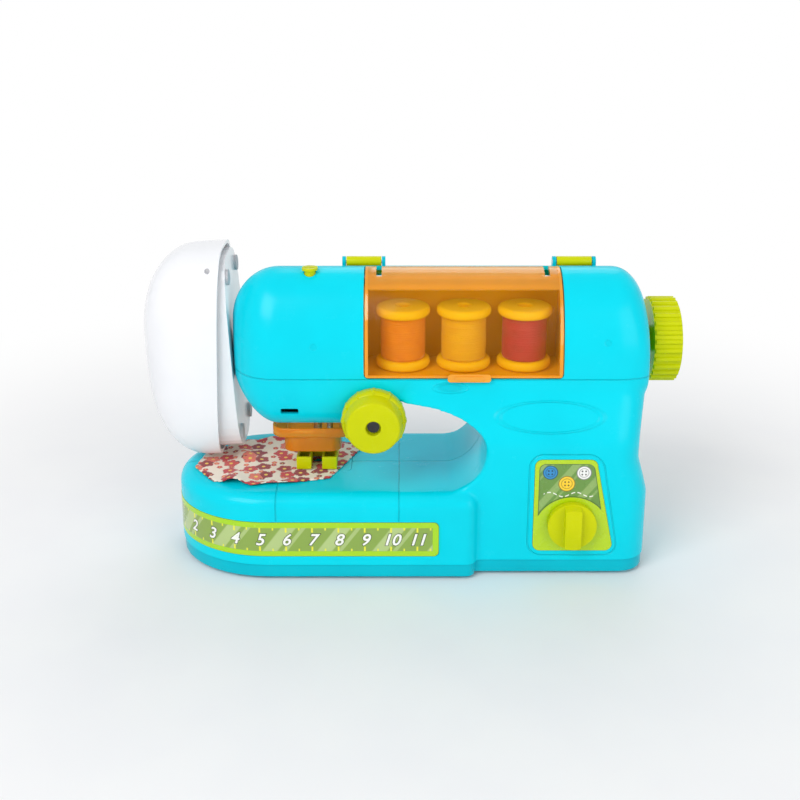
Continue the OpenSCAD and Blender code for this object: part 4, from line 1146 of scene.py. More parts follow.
    def front_cuts(self) -> list[Form]:
        """Window, thread slot, guide and dial holes, and the seats of label and ruler.

        Returns:
            The forms to cut away.
        """
        return [
            Form().prism(tablet(-25.6, 115.4, 85.6, 200, 2.8), -90, 5, "y"),
            Form().prism(tablet(-72.5, 93.6, -62.5, 97.2, 0.9), -90, -20, "y"),
            Form().prism(disc(-56, -7, 3.5), 160, 190),
            Form().prism(disc(91.5, 33.0, 5.0), -90, -30, "y"),
            Form().prism(label_outline(0.25), -60, -41.5, "y"),
            self.strip(1.05, 3.0, 0.3),
        ]

    def rear_cuts(self) -> list[Form]:
        """Hinge notch, handle pockets, shaft and lifter holes, and the screw wells.

        Returns:
            The forms to cut away.
        """
        pockets = [Form().block((mid - 13, 6, 158), (mid + 13, 18, 200)) for mid in (-26.2, 94.8)]
        wells = [Form().prism(disc(x, z, 3.2, 28), 12, 90, "y") for x, z in self.screws]
        return [
            Form().block((-25.3, -5, 162), (85.3, 4.3, 200)),
            *pockets,
            Form().prism(disc(16, 124, 5.7), 115, 160, "x"),
            Form().prism(disc(-72, 97, 2.7), 5, 60, "y"),
            *wells,
        ]


@dataclass
class SewingCloth:
    """The piece of printed cotton laid on the bed under the presser foot."""

    outline: tuple[Point, ...] = (
        (-126, -10), (-113, -29), (-90, -35), (-70, -32), (-46, -25), (-27, 22), (-60, 33), (-100, 28),
        (-122, 12),
    )
    rest: float = 52.35
    thick: float = 0.5
    pitch: float = 1.5
    needle: Point = (-54.0, 0.0)
    slit: float = 1.6

    def sides(self) -> list[tuple[Point, Point]]:
        """The cut edge's straight sides, each from one corner to the next."""
        return list(zip(self.outline, (*self.outline[1:], self.outline[0])))

    def inside(self, x: float, y: float) -> tuple[float, Point]:
        """Where a point lies against the cut edge.

        Args:
            x: The point's X.
            y: The point's Y.

        Returns:
            How far inside it lies, below zero outside, and the nearest point of the edge.
        """
        best, sign, spot = math.inf, -1.0, (x, y)
        for (ax, ay), (bx, by) in self.sides():
            along = (x - ax) * (bx - ax) + (y - ay) * (by - ay)
            t = within(along / ((bx - ax) ** 2 + (by - ay) ** 2), 0.0, 1.0)
            near = (ax + t * (bx - ax), ay + t * (by - ay))
            if math.dist(near, (x, y)) < best:
                best, spot = math.dist(near, (x, y)), near
            if (ay > y) != (by > y) and x < (bx - ax) * (y - ay) / (by - ay) + ax:
                sign = -sign
        return sign * best, spot

    def lift(self, x: float, y: float, inside: float) -> float:
        """The cloth's height over the bed: soft folds and a curled edge that die out at the needle plate.

        Args:
            x: The point's X.
            y: The point's Y.
            inside: How far it lies inside the cut edge.

        Returns:
            The height.
        """
        away = within((math.hypot(x + 56, y) - 24) / 30, 0.0, 1.0) * within((x + 112) / 16, 0.2, 1.0)
        fold = 0.5 + 0.5 * math.sin(0.19 * x + 0.11 * y + 1.4 * math.sin(0.07 * y))
        cross = 0.5 + 0.5 * math.sin(0.12 * x - 0.23 * y + 2.0)
        curl = max(0.0, 1 - inside / 8) ** 2 * (0.5 + 0.5 * math.sin(0.23 * x - 0.19 * y + 0.6))
        return eases(away) * (2.5 * fold * fold + 1.1 * cross + 2.2 * curl)

    def build(self, finish: Material) -> None:
        """Makes the cloth.

        Args:
            finish: The printed cotton.
        """
        form = Form()
        index: dict[tuple[int, int], int] = {}
        low = [min(p[k] for p in self.outline) for k in (0, 1)]
        high = [max(p[k] for p in self.outline) for k in (0, 1)]
        wide, deep = (int((high[k] - low[k]) / self.pitch) + 2 for k in (0, 1))
        for i in range(wide):
            for j in range(deep):
                x, y = low[0] + i * self.pitch, low[1] + j * self.pitch
                depth, edge = self.inside(x, y)
                if depth > -self.pitch / 2 and math.dist((x, y), self.needle) > self.slit:
                    x, y = edge if depth <= self.pitch / 2 else (x, y)
                    index[i, j] = form.ring([(x, y, self.rest + self.lift(x, y, max(0.0, depth)))])[0]
        for i, j in index:
            square = [(i, j), (i + 1, j), (i + 1, j + 1), (i, j + 1)]
            if all(key in index for key in square):
                form.faces.append([index[key] for key in square])
        piece = form.made("printed_cloth", 180.0)
        body = piece.modifiers.new("body", "SOLIDIFY")
        body.thickness, body.offset = self.thick * MM, 1.0
        settled(piece, 180.0)
        dressed(piece, finish, "machine", "cloth", "sample_cloth")
        area = sum(a[0] * b[1] - b[0] * a[1] for a, b in self.sides()) / 2
        (high[0] - low[0]) * MM
        (high[1] - low[1]) * MM
        abs(area) * MM * MM


@dataclass
class SpoolBay:
    """Three wound spools on their posts behind a hinged clear lid."""

    places: tuple[float, ...] = (-3.7, 31.0, 65.7)
    middle: float = -5.0
    floor: float = 114.9
    tall: float = 36.0
    flange: float = 5.5
    radius: float = 15.5
    lip: float = 2.4
    core: float = 10.9
    bore: float = 3.8
    wound: float = 12.3
    strand: float = 0.62
    turns: int = 40
    per_turn: int = 36
    sides: int = 6
    lid_half: float = 31.0
    lid_rise: float = 54.0
    lid_foot: float = 118.0
    lid_wall: float = 2.0
    hinge: Point = (-3.0, 166.5)

    def reel(self, name: str, x: float) -> Piece:
        """One spool with rolled flanges.

        Args:
            name: The piece's name.
            x: Where it stands.

        Returns:
            The spool.
        """
        f, e, flat = self.flange, self.lip, self.radius - self.lip
        turns = [math.radians(90 * k / 8) for k in range(1, 9)]
        low = [(self.bore, 0.7), (self.bore + 0.7, 0.0), (flat, 0.0)]
        low += [(flat + e * math.sin(a), e - e * math.cos(a)) for a in turns]
        low += [(flat + e * math.cos(a), f - e + e * math.sin(a)) for a in turns]
        low += [(self.core + 0.8, f), (self.core, f + 0.8)]
        high = [(r, self.tall - level) for r, level in reversed(low)]
        place = Matrix.Translation((x, self.middle, self.floor))
        return Form().lathe(low + high, 72).placed(place).made(name, 40.0)

    def winding(self, name: str, x: float, seed: float) -> Piece:
        """The thread on one spool: close turns over a full core.

        Args:
            name: The piece's name.
            x: Where the spool stands.
            seed: Sets this winding's unevenness off from the others.

        Returns:
            The winding.
        """
        start, end = self.flange + 0.75, self.tall - self.flange - 0.75
        total, thick = self.turns * self.per_turn, self.strand / 2
        rings, along, around = [], [], []
        for k in range(total + 1):
            share, a = k / total, 2 * math.pi * k / self.per_turn
            wander = 0.13 * math.sin(31 * share + seed) + 0.08 * math.sin(83 * share + 2 * seed)
            swell = 0.16 * math.sin(math.pi * share)
            middle = self.wound + swell + 0.1 * math.sin(57 * share + a * 0.31 + seed)
            height = start + (end - start) * share + wander
            ring = []
            for j, c in enumerate(circling(self.sides)):
                r = middle + thick * math.cos(c)
                ring.append((r * math.cos(a), r * math.sin(a), height + thick * math.sin(c)))
                along.append(a * middle)
                around.append(j / self.sides)
            rings.append(ring)
        form = Form().loft(rings)
        inner, outer, low, high = self.core + 0.15, self.wound - 0.05, start - 0.5, end + 0.5
        crown = (self.wound + 0.1, (start + end) / 2)
        form.lathe([(inner, low), (outer, low), crown, (outer, high), (inner, high)], 48)
        rest = [0.0] * (len(form.points) - len(along))
        form.numbers = {"along": along + rest, "around": around + rest}
        return form.placed(Matrix.Translation((x, self.middle, self.floor))).made(name, 180.0)

    def lid(self) -> Piece:
        """The clear lid: a curved pane with cheeks, knuckles, finger tab and hinge slots.

        Returns:
            The lid.
        """
        half, rise, foot, wall = self.lid_half, self.lid_rise, self.lid_foot, self.lid_wall
        y, z = self.hinge
        start = math.acos(1.5 / half)
        sweep = [start + (math.pi - start) * k / 44 for k in range(45)]
        outer = [(half * math.cos(a), foot + rise * math.sin(a)) for a in sweep]
        inner = [((half - wall) * math.cos(a), foot + (rise - wall) * math.sin(a)) for a in reversed(sweep)]
        pane = Form().prism([*outer, (-half, foot - 2), (wall - half, foot - 2), *inner], -25, 85, "x")
        piece = rounded(pane.made("spool_lid_clear"), 0.45, 2, 40)
        carved(piece, [Form().prism(tablet(-25.2, 115.9, 85.2, 200, 2.6), -60, 60, "y")], Cut.KEEP)
        tab = Form().prism(tablet(21, 114.4, 45, 119, 1.6), -33.1, -31.3, "y")
        tab.block((22, -33.0, 116.2), (44, -30.0, 118.6))
        grip = Form().prism(tablet(25, 115.6, 41, 117.8, 1.1), -33.7, -33.0, "y")
        arc = [(py * 0.985, foot + (pz - foot) * 0.985) for py, pz in outer if -29.5 < py < -4]
        cheek = [*arc, (-27.2, 141.0), (-5.2, 165.0)]
        tools = [tab, grip, *(Form().prism(cheek, x, x + 1.7, "x") for x in (-25.0, 83.3))]
        for x in (-25.0, 79.0):
            tools.append(Form().prism(disc(y, z, 2.2, 32), x, x + 6, "x"))
            tools.append(Form().block((x, y - 2.2, z), (x + 6, y + 2.2, 171)))
        carved(piece, tools, Cut.ADD)
        slots = [Form().block((x, -10, 162), (x + 3, 20, 200)) for x in (-18.7, 75.7)]
        carved(piece, [Form().prism(disc(y, z, 1.15, 24), -40, 100, "x"), *slots])
        smooth(piece.data, 30.0)
        return piece

    def build(self, clear: Material, plastic: Material, threads: dict[str, Material]) -> None:
        """Makes the bay.

        Args:
            clear: The lid's plastic.
            plastic: The spools' plastic.
            threads: The three threads by their slot, left to right.
        """
        for k, (side, x, slot) in enumerate(zip(("left", "middle", "right"), self.places, threads)):
            body = f"{side}_spool"
            dressed(self.winding(f"thread_{side}", x, 1.7 * k), threads[slot], body, slot, f"yarn_{side}")
            dressed(self.reel(f"reel_{side}", x), plastic, body, "yellow", f"spool_{side}")
        dressed(self.lid(), clear, "lid", "amber", "spool_lid")


@dataclass
class Pedal:
    """The foot pedal, leaning on the machine's left end: a domed treadle over a flat base."""

    long: float = 126.0
    wide: float = 66.0
    base: float = 17.0
    dome: float = 36.0
    wall: float = 2.0
    crown: float = 2.4
    steps: int = 112
    lean: float = -2.9
    stand: Point = (-104.5, 14.0, 182.5)

    def place(self) -> Matrix:
        """Where the pedal leans.

        Returns:
            The move from its own axes to the frame, in millimetres.
        """
        turned = ((self.lean, "Y"), (180, "Z"), (90, "Y"))
        lean, about, up = (Matrix.Rotation(math.radians(angle), 4, axis) for angle, axis in turned)
        return Matrix.Translation(self.stand) @ lean @ (about @ up)

    def ring(self, inset: float, share: float, w: float) -> list[Point]:
        """One level of the treadle's skin.

        Args:
            inset: How far inside the outer skin.
            share: Its size against the lowest level.
            w: Its height over the pedal's sole.

        Returns:
            The ring.
        """
        middle, long, wide = self.long / 2, self.long / 2 - inset, self.wide / 2 - inset
        sides = [(boxy(math.cos(a)), boxy(math.sin(a))) for a in circling(self.steps)]
        return [(middle + long * share * c, wide * share * s, w) for c, s in sides]

    def shell(self, inset: float, low: float) -> Form:
        """The dome as a closed form.

        Args:
            inset: How far inside the outer skin.
            low: Where it starts.

        Returns:
            The form.
        """
        rings = [self.ring(inset, 1.0, w) for w in (low, self.base * 0.5, self.base)]
        for k in range(1, 33):
            t = 0.968 * math.sin(math.radians(90 * k / 32))
            share = (1 - t**self.crown) ** (1 / self.crown)
            rings.append(self.ring(inset, share, self.base + (self.dome - inset) * t))
        return Form().loft(rings)

    def build(self, gloss: Material) -> None:
        """Makes the treadle.

        Args:
            gloss: Its plastic.
        """
        skirt = Form().prism([(-10, -30), (136, -30), (136, 13.9), (-10, 1.1)], -60, 60, "y")
        piece = self.shell(0.0, 0.0).made("treadle_cover")
        carved(piece, [self.shell(self.wall, -1.0), skirt])
        carved(piece, [Form().prism(disc(10, 9, 1.56, 24), -60, 60, "y")])
        smooth(piece.data, 35.0)
        shifted(piece, self.place())
        dressed(piece, gloss, "treadle", "white", "pedal_treadle")


@dataclass(frozen=True)
class RulerPrint(Finish):
    """The printed ruler: a lime edge, an olive field with pale slanted bars of painted reflection, and ticks.
    """

    edge: Colour
    field: Colour
    light: Colour
    tick: Colour
    pitch: float = 14.8
    first: float = 4.4
    middle: float = 26.0
    half: float = 7.2

    def paint(self, shade: Shade) -> None:
        """Lays on the finish.

        Args:
            shade: The material in the making.
        """
        height = shade.axes()[2]
        z, run = height - self.middle, shade.attribute("along")
        inner = z.band(self.half, 0.25) * run.step(13.2, 12.7)
        # painted reflection: pale slanted bars of glare laid over the olive field
        slant = (run - height * 0.75).wrapped(31.0)
        glare_bars = slant.band(4.2, 0.6) * 0.75 + (slant - 8.5).band(1.3, 0.4) * 0.6
        whole = (run - self.first).wrapped(self.pitch).band(0.5, 0.15)
        half = (run - self.first - self.pitch / 2).wrapped(self.pitch).band(0.42, 0.15)
        edge = self.half - abs(z)
        marks = (whole * edge.step(3.0, 2.6)).high(half * edge.step(1.7, 1.3))
        hue = shade.hue(self.edge).over(self.field, inner).over(self.light, glare_bars * inner)
        shade.feed("Base Color", hue.over(self.tick, marks * inner))
        shade.feed("Roughness", shade.noise(8.0, 3.0).step(0.4, 0.75) * 0.08 + 0.2)
        shade.set(coat_weight=0.3, coat_roughness=0.1)
        shade.relief(shade.noise(0.7, 1.0) * 0.3 + inner, 0.12)


@dataclass(frozen=True)
class LabelPrint(Finish):
    """The printed label: a lime ground, a green field arched over the dial with pale bars of painted
    reflection, and three plain buttons.
    """

    edge: Colour
    field: Colour
    light: Colour
    inks: tuple[Colour, Colour, Colour]
    stitches: Colour = (0.9, 0.9, 0.8)
    buttons: tuple[Point, ...] = ((78.6, 64.4, 3.9), (88.0, 57.6, 4.4), (97.4, 64.2, 3.9))

    def paint(self, shade: Shade) -> None:
        """Lays on the finish.

        Args:
            shade: The material in the making.
        """
        x, _, z = shade.axes()
        inside = label_inset(x, z, 6.0)
        arch = (x - 91.5).hypot(z - 28.0)
        outline = inside.step(2.2, 2.5) * arch.step(21.0, 21.4) * z.step(37.4, 37.9)
        field = inside.step(2.6, 3.0) * arch.step(21.6, 22.0) * z.step(38.0, 38.5)
        # painted reflection: pale slanted bars of glare laid over the green field
        slant = (x - z * 0.8).wrapped(19.0)
        glare_bars = slant.band(2.6, 0.5) * 0.5 + (slant - 5.5).band(0.8, 0.3) * 0.4
        hue = shade.hue(self.edge).over(toned(self.field, 0.55), outline)
        hue = hue.over(self.field, field).over(self.light, glare_bars * field)
        for ink, (cx, cz, r) in zip(self.inks, self.buttons):
            across, up = x - cx, z - cz
            away = across.hypot(up)
            hole = (abs(across) - 1.0).hypot(abs(up) - 1.0)
            hue = hue.over(toned(ink, 0.25), away.step(r + 0.5, r + 0.2) * field)
            hue = hue.over(ink, away.step(r, r - 0.25) * field)
            hue = hue.over(toned(ink, 0.55), (away - r * 0.68).band(0.28, 0.12) * field)
            hue = hue.over(toned(ink, 0.15), hole.step(0.62, 0.42) * field)
        wave = (x * 0.42).math("SINE") * 1.3 + 51.0
        stitch = (wave - z).band(0.34, 0.14) * x.wrapped(3.4).band(1.05, 0.15)
        shade.feed("Base Color", hue.over(self.stitches, stitch * field * inside.step(5.0, 5.4)))
        shade.feed("Roughness", shade.noise(4.0, 3.0).step(0.4, 0.75) * 0.12 + 0.22)
        shade.set(coat_weight=0.3, coat_roughness=0.1)
        shade.relief(shade.noise(0.7, 1.0) * 0.3 + field, 0.1)


@dataclass
class Ruler:
    """The ruler round the bed's front, with raised printed figures."""

    casing: Casing
    tall: float = 9.9
    slope: float = 0.28
    weight: float = 0.2
    figure_z: float = 22.6
    first: float = -128.8
    pitch: float = 14.8
    figures: Sequence[int] = range(2, 12)
    face: float = 0.12
    stride: float = 0.002

    def at(self, run: float) -> tuple[float, float, float]:
        """Where a run along the face lies.

        Args:
            run: The run, equal to X along the straight front.

        Returns:
            X, Y and the outward heading.
        """
        case = self.casing
        left, a = case.bed_x[0] - run, FRONT
        if left <= 0:
            return run, -case.bed_half, FRONT
        while left > 0:
            a -= self.stride
            left -= self.stride * math.hypot(case.bed_round * math.sin(a), case.bed_half * math.cos(a))
        return *case.rim(a), case.heading(a)

    def lettered(self, name: str, grow: float, proud: float) -> Piece:
        """The figures, bent to the bed's front.

        Args:
            name: The piece's name.
            grow: How much fatter than the plain figure.
            proud: Height over the bed's surface.

        Returns:
            The figures as one mesh.
        """
        form = Form()
        for k, figure in enumerate(self.figures):
            text = bpy.data.curves.new("figure", "FONT")
            text.body, text.size, text.shear = str(figure), self.tall, self.slope
            text.align_x, text.offset, text.resolution_u = "CENTER", self.weight + grow, 3
            holder = linked("figure", text)
            graph = bpy.context.evaluated_depsgraph_get()
            mesh = bpy.data.meshes.new_from_object(holder.evaluated_get(graph))
            start = len(form.points)
            for v in mesh.vertices:
                x, y, a = self.at(self.first + self.pitch * k + v.co.x)
                form.points.append((x + proud * math.cos(a), y + proud * math.sin(a), self.figure_z + v.co.y))
            form.faces += [tuple(start + i for i in p.vertices) for p in mesh.polygons]
            bpy.data.objects.remove(holder)
        return form.made(name, 180.0)

    def build(self, sheet: Material, ink: Material, white: Material) -> None:
        """Makes the ruler.

        Args:
            sheet: Its print.
            ink: The figures' outline.
            white: The figures' fill.
        """
        plate = self.casing.strip(0.95, self.face).made("ruler_strip", 30.0)
        dressed(plate, sheet, "machine", "label", "ruler_plate")
        dressed(self.lettered("ruler_outline", 0.34, self.face + 0.05), ink, "machine", "label")
        dressed(self.lettered("ruler_figures", 0.0, self.face + 0.1), white, "machine", "label")


@dataclass
class Studio:
    """Plain floor, soft lamps and the camera at the photograph's angle."""

    target: Point = (-5.4, 0.0, 91.0)
    reach: float = 668.0
    lift: float = 21.5
    lens: float = 51.0
    sensor: float = 36.0
    rise: float = -0.12
    aim: Point = (0.0, 0.0, 0.08)
    half_floor: float = 6.0

    def camera(self) -> None:
        """Sets the camera."""
        data = bpy.data.cameras.new("view")
        data.lens, data.sensor_width, data.shift_y = self.lens, self.sensor, self.rise
        data.clip_start, data.clip_end = 0.01, 20.0
        eye = linked("view", data)
        lift = math.radians(self.lift)
        tilt = lift - math.atan(-self.rise * self.sensor / self.lens)
        back, look = (Vector((0.0, -math.cos(e), math.sin(e))) for e in (lift, tilt))
        eye.location = (Vector(self.target) + back * self.reach) * MM
        eye.rotation_euler = (-look).to_track_quat("-Z", "Y").to_euler()
        bpy.context.scene.camera = eye

    def lamp(self, name: str, place: Point, size: float, power: float) -> None:
        """Adds a square soft lamp that faces the object.

        Args:
            name: Its name.
            place: Where it hangs, in metres.
            size: Its side, in metres.
            power: Its power, in watts.
        """
        data = bpy.data.lights.new(name, "AREA")
        data.shape, data.size, data.energy = "SQUARE", size, power
        lamp = linked(name, data)
        lamp.location = place
        lamp.rotation_euler = (Vector(self.aim) - Vector(place)).to_track_quat("-Z", "Y").to_euler()

    def sighted(self, tree: Tree) -> Val:
        """Rays that show the background: straight to the eye, in a reflection or through glass.

        Args:
            tree: The tree of the floor or the room.

        Returns:
            1 for such a ray, 0 for others.
        """
        path = added(tree, "ShaderNodeLightPath").outputs
        kinds = ("Camera", "Glossy", "Transmission")
        camera, glossy, through = (Val(tree, path[f"Is {kind} Ray"]) for kind in kinds)
        return camera.high(glossy).high(through)

    def floor(self) -> None:
        """Lays the floor, which fades to white for the eye and keeps the shadow."""
        shade = Shade("floor_paper")
        x, y, _ = shade.axes()
        grain = shade.noise(60.0, 2.0).step(0.3, 0.7)
        shade.feed("Base Color", shade.hue((0.86, 0.86, 0.86)).over((0.84, 0.84, 0.85), grain))
        shade.set(roughness=0.8)
        white = added(shade.tree, "ShaderNodeEmission").outputs[0]
        faded = self.sighted(shade.tree) * x.hypot(y).step(120.0, 550.0)
        shade.mixed(faded, shade.shader.outputs[0], white)
        mesh = bpy.data.meshes.new("floor")
        far = self.half_floor
        mesh.from_pydata([(-far, -far, 0), (far, -far, 0), (far, far, 0), (-far, far, 0)], [], [(0, 1, 2, 3)])
        mesh.materials.append(shade.material)
        linked("floor", mesh)

    def world(self) -> None:
        """Sets an even pale light all round, which is white where it is seen."""
        world = bpy.data.worlds.new("room")
        world.use_nodes = True
        tree = world.node_tree
        tree.nodes.clear()
        kind = "ShaderNodeBackground"
        light = added(tree, kind, None, {"Color": (0.95, 0.97, 1.0), "Strength": 0.5}).outputs[0]
        white = added(tree, kind, None, {"Color": (1.0, 1.0, 1.0), "Strength": 1.0}).outputs[0]
        mix = added(tree, "ShaderNodeMixShader", None, {0: self.sighted(tree), 1: light, 2: white})
        added(tree, "ShaderNodeOutputWorld", None, {"Surface": mix.outputs[0]})
        bpy.context.scene.world = world

    def build(self) -> None:
        """Sets up the whole studio."""
        self.camera()
        self.floor()
        self.world()
        self.lamp("key", (-0.75, -1.0, 1.1), 0.8, 13.0)
        self.lamp("fill", (0.9, -1.1, 0.6), 0.9, 6.0)
        self.lamp("back", (0.2, 0.9, 1.1), 0.8, 4.0)
        bpy.context.scene.view_settings.view_transform = "Standard"


def finishes() -> dict[str, Material]:
    """Makes every finish once.

    Returns:
        Materials by the record's slot, and by piece where a slot holds more than one.
    """
    case, case_deep = srgb(0, 214, 232), srgb(0, 200, 220)
    kinds: dict[str, Finish] = {
        "turquoise": Moulded("turquoise_gloss", case, case_deep, lines=case_lines),
        "turquoise_plain": Moulded("turquoise_plain", case, case_deep),
        # painted shade: a darker copy of the case turquoise, for the base plate, battery door and handle
        # brackets
        "turquoise_base": Moulded("turquoise_base", srgb(0, 190, 208), srgb(0, 168, 190), 0.3),
        "lime": Moulded("lime_gloss", srgb(206, 210, 6), srgb(178, 190, 2), 0.26),
        "amber_solid": Moulded("orange_gloss", srgb(245, 140, 10), srgb(222, 116, 4), 0.25),
        "yellow": Moulded("yellow_gloss", srgb(254, 214, 30), srgb(250, 198, 18), 0.3),
        "tray": Moulded("tray_gloss", srgb(240, 184, 26), srgb(226, 162, 14), 0.3),
        "white": Moulded("white_gloss", srgb(238, 238, 240), srgb(226, 228, 232), 0.2, 0.35),
        "grey_plastic": Moulded("grey_plastic", srgb(150, 152, 155), srgb(128, 130, 134), 0.4),
        "black_plastic": Moulded("black_plastic", srgb(38, 38, 42), srgb(24, 24, 28), 0.38),
        "ink": Moulded("ruler_ink", srgb(52, 62, 24), srgb(40, 50, 18), 0.35),
        "figure": Moulded("figure_white", srgb(246, 246, 238), srgb(232, 232, 222), 0.3),
        "amber": Amber("amber_clear", (1.0, 0.955, 0.82), srgb(255, 168, 16), 0.05, 0.3, lid_edges),
        "guard": Amber("amber_guard", (1.0, 0.8, 0.3), srgb(248, 146, 2), 0.5, 0.4, coat=0.25),
        "steel": Metal("steel", (0.62, 0.62, 0.64)),
        # painted shade: steel darkened nearly to black, standing for the shade in the knob's screw well
        "steel_shaded": Metal("steel_shaded", (0.06, 0.06, 0.065), 0.3),
        "rubber": Rubber("rubber", (0.025, 0.025, 0.027)),
        "pale_rubber": Rubber("pale_rubber", (0.5, 0.5, 0.52)),
        "orange_thread": Thread("thread_orange", srgb(254, 160, 6), srgb(232, 120, 2)),
        "yellow_thread": Thread("thread_yellow", srgb(255, 208, 8), srgb(240, 176, 4)),
        "red_thread": Thread("thread_red", srgb(208, 4, 88), srgb(164, 2, 62)),
        "cloth": Print(
            "printed_cotton", srgb(246, 232, 214), (srgb(150, 14, 40), srgb(206, 40, 52), srgb(232, 116, 96)),
            srgb(250, 214, 90), srgb(120, 60, 50),
        ),
        "label": LabelPrint(
            "label_print", srgb(182, 212, 8), srgb(104, 146, 62), srgb(168, 196, 120),
            (srgb(40, 140, 200), srgb(250, 206, 40), srgb(240, 240, 236)),
        ),
        "ruler": RulerPrint(
            "ruler_print", srgb(168, 214, 14), srgb(138, 166, 70), srgb(190, 208, 140), srgb(236, 232, 60)
        ),
    }
    return {key: kind.made() for key, kind in kinds.items()}


CARRIED = {
    # parts in the darker, painted-shade copy of the case turquoise
    "turquoise_base": "base_plate battery_door handle_brackets",
    "turquoise_plain": "needle_plate",
    "lime": "tension_knob stitch_dial handwheel carry_handle presser_foot thread_guide",
    "guard": "needle_guard",
    "amber_solid": "presser_lifter",
    "tray": "spool_tray spool_posts",
    "white": "pedal_base",
    "label": "label_plate",
    "steel": "door_screw battery_contacts case_screws presser_bar needle_bar needle main_shaft"
    " wheel_screw tension_post lid_pin handle_pins pedal_pin pedal_spring motor",
    # the knob's screw, in steel painted dark as shade
    "steel_shaded": "knob_screw",
    "grey_plastic": "needle_frame needle_clamp conrod crank_disc left_bush",
    "black_plastic": "battery_box right_bush main_pulley motor_pulley motor_mount dial_switch pedal_switch",
    "rubber": "rubber_feet drive_belt",
    "pale_rubber": "pedal_feet",
}
FINISH_OF = {node: key for key, nodes in CARRIED.items() for node in nodes.split()}


@dataclass
class Softened:
    """CAD nodes whose sharp edges get the small rounding of a moulding."""

    widths: dict[str, float] = field(
        default_factory=lambda: {
            "presser_foot": 0.5, "needle_guard": 0.6, "stitch_dial": 0.7, "thread_guide": 0.5,
            "handle_brackets": 0.4, "carry_handle": 1.2, "base_plate": 0.5, "presser_lifter": 0.7,
        }
    )
    merge: float = 0.02
    flat: float = 2.0

    def build(self, frame: dict, made: dict[str, Material]) -> None:
        """Makes the rounded copies.

        Args:
            frame: The loaded frame.
            made: The finishes.
        """
        bodies = {n: b for b, names in frame["record"]["behaviour"]["bodies"].items() for n in names}
        for node, width in self.widths.items():
            work = bmesh.new()
            work.from_mesh(frame["nodes"][node].data)
            bmesh.ops.remove_doubles(work, verts=work.verts, dist=self.merge * MM)
            limit = math.radians(self.flat)
            bmesh.ops.dissolve_limit(work, angle_limit=limit, verts=work.verts, edges=work.edges)
            mesh = bpy.data.meshes.new(f"{node}_round")
            work.to_mesh(mesh)
            work.free()
            piece = rounded(linked(f"{node}_round", mesh), width, 3, 35.0)
            finish = FINISH_OF[node]
            dressed(piece, made[finish], bodies[node], "amber" if finish == "guard" else finish, node)


def circle_of(name: str, count: int, radius: float, half: Point, finish: Material) -> Piece:
    """Sets equal rounded ribs on a circle about the Z axis, by Geometry Nodes.

    Args:
        name: The piece's name.
        count: How many ribs.
        radius: Where their middles stand.
        half: A rib's half sizes: outwards, across and up.
        finish: Its material.

    Returns:
        The ribs as one plain mesh at the origin.
    """
    tree = bpy.data.node_groups.new(f"{name}_tree", "GeometryNodeTree")
    values = {
        "Count": ("Int", count),
        "Radius": ("Float", radius * MM),
        "Half": ("Vector", [h * MM for h in half]),
        "Turn": ("Float", 2 * math.pi / count),
        "Finish": ("Material", finish),
    }
    keys = {
        label: tree.interface.new_socket(label, in_out="INPUT", socket_type=f"NodeSocket{kind}").identifier
        for label, (kind, _) in values.items()
    }
    tree.interface.new_socket("Geometry", in_out="OUTPUT", socket_type="NodeSocketGeometry")

    def result(kind: str, sockets: dict[Any, Any], settings: dict[str, Any] | None = None) -> Socket:
        """Adds a node and gives its first output."""
        return added(tree, kind, settings, sockets).outputs[0]

    given = added(tree, "NodeGroupInput").outputs
    circle = result("GeometryNodeMeshCircle", {"Vertices": given["Count"], "Radius": given["Radius"]})
    rib = result("GeometryNodeMeshUVSphere", {"Segments": 16, "Rings": 10})
    number = result("GeometryNodeInputIndex", {})
    angle = result("ShaderNodeMath", {0: number, 1: given["Turn"]}, {"operation": "MULTIPLY"})
    heading = result("FunctionNodeEulerToRotation", {0: result("ShaderNodeCombineXYZ", {"Z": angle})})
    spots = {"Points": circle, "Instance": rib, "Rotation": heading, "Scale": given["Half"]}
    real = result("GeometryNodeRealizeInstances", {0: result("GeometryNodeInstanceOnPoints", spots)})
    painted = result("GeometryNodeSetMaterial", {0: real, "Material": given["Finish"]})
    added(tree, "NodeGroupOutput", None, {0: painted})
    piece = linked(name, bpy.data.meshes.new(name))
    step = piece.modifiers.new("ribs", "NODES")
    step.node_group = tree
    for label, (_, value) in values.items():
        step[keys[label]] = value
    return settled(piece, 60.0)


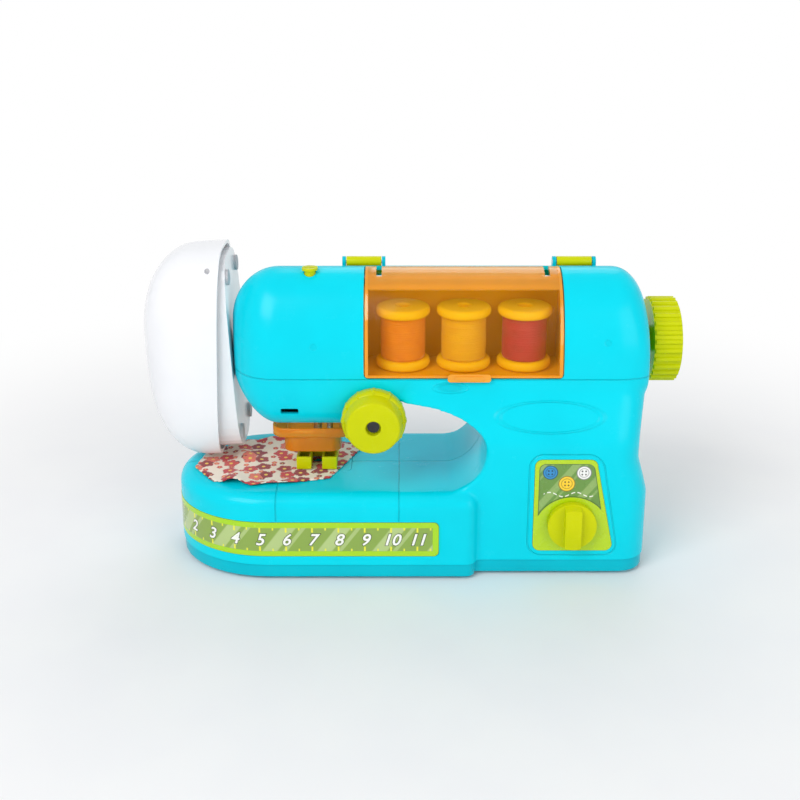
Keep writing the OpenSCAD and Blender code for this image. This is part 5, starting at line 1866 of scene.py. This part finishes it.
@dataclass
class TensionKnob:
    """The round thread-tension knob: a scalloped rim, a cone and a sunk screw well."""

    place: Point = (-20.0, -31.5, 93.0)
    bore: float = 3.05
    well: float = 4.2
    rim: float = 18.4
    rim_deep: float = 8.0
    foot: float = 16.5
    face: float = 14.0
    deep: float = 17.0
    scallops: int = 12
    sink: float = 0.45

    def profile(self) -> list[Point]:
        """The knob's section.

        Returns:
            Radius and height over its back, as a loop.
        """
        rim, edge, face, deep, floor = self.rim, self.rim_deep, self.face, self.deep, self.deep - 4.0
        back = [(self.bore, 0.0), (rim - 1.6, 0.0), (rim - 0.5, 0.4), (rim, 1.4)]
        front = [(rim, edge - 2.0), (rim - 0.5, edge - 0.7), (rim - 1.5, edge)]
        cone = [(self.foot + 0.4, edge), (self.foot, edge + 0.3), (face + 0.9, deep - 0.9)]
        crown = [(face + 0.35, deep - 0.25), (face - 0.6, deep), (self.well + 0.4, deep)]
        return back + front + cone + crown + [(self.well, deep - 0.4), (self.well, floor), (self.bore, floor)]

    def build(self, plastic: Material) -> None:
        """Makes the knob.

        Args:
            plastic: Its finish.
        """
        rings = []
        for r, h in self.profile():
            ring = []
            on_rim = r > self.rim - 0.6 and 0.0 < h < self.rim_deep
            for a in circling(self.scallops * 28):
                wave = 0.5 + 0.5 * math.cos(self.scallops * a)
                radius = r - self.sink * (1 - wave**20) if on_rim else r
                ring.append((radius * math.cos(a), radius * math.sin(a), h))
            rings.append(ring)
        turn = Matrix.Translation(self.place) @ Matrix.Rotation(math.radians(90), 4, "X")
        piece = Form().loft(rings, True).placed(turn).made("tension_knob_round", 38.0)
        ribs = circle_of("tension_knob_ribs", self.scallops, self.foot + 0.35, (1.15, 0.5, 0.7), plastic)
        shifted(ribs, turn @ Matrix.Translation((0, 0, self.rim_deep)))
        dressed(ribs, plastic, "knob", "lime")
        dressed(piece, plastic, "knob", "lime", "tension_knob")


def dress_nodes(frame: dict, made: dict[str, Material]) -> None:
    """Gives each CAD node that stays in sight its finish.

    Args:
        frame: The loaded frame.
        made: The finishes.
    """
    for node, key in FINISH_OF.items():
        for slot in frame["nodes"][node].material_slots:
            slot.material = made[key]
        LOG.info("%s is in %s", node, made[key].name)


def main() -> None:
    """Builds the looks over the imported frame."""
    logging.basicConfig(level=logging.INFO, format="%(levelname)s %(message)s")
    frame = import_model()
    Studio().build()
    made = finishes()
    casing = Casing()
    casing.build(made["turquoise"])
    SewingCloth().build(made["cloth"])
    threads = {slot: made[slot] for slot in ("orange_thread", "yellow_thread", "red_thread")}
    SpoolBay().build(made["amber"], made["yellow"], threads)
    Ruler(casing).build(made["ruler"], made["ink"], made["figure"])
    Pedal().build(made["white"])
    TensionKnob().build(made["lime"])
    Softened().build(frame, made)
    dress_nodes(frame, made)


if __name__ == "__main__":
    main()
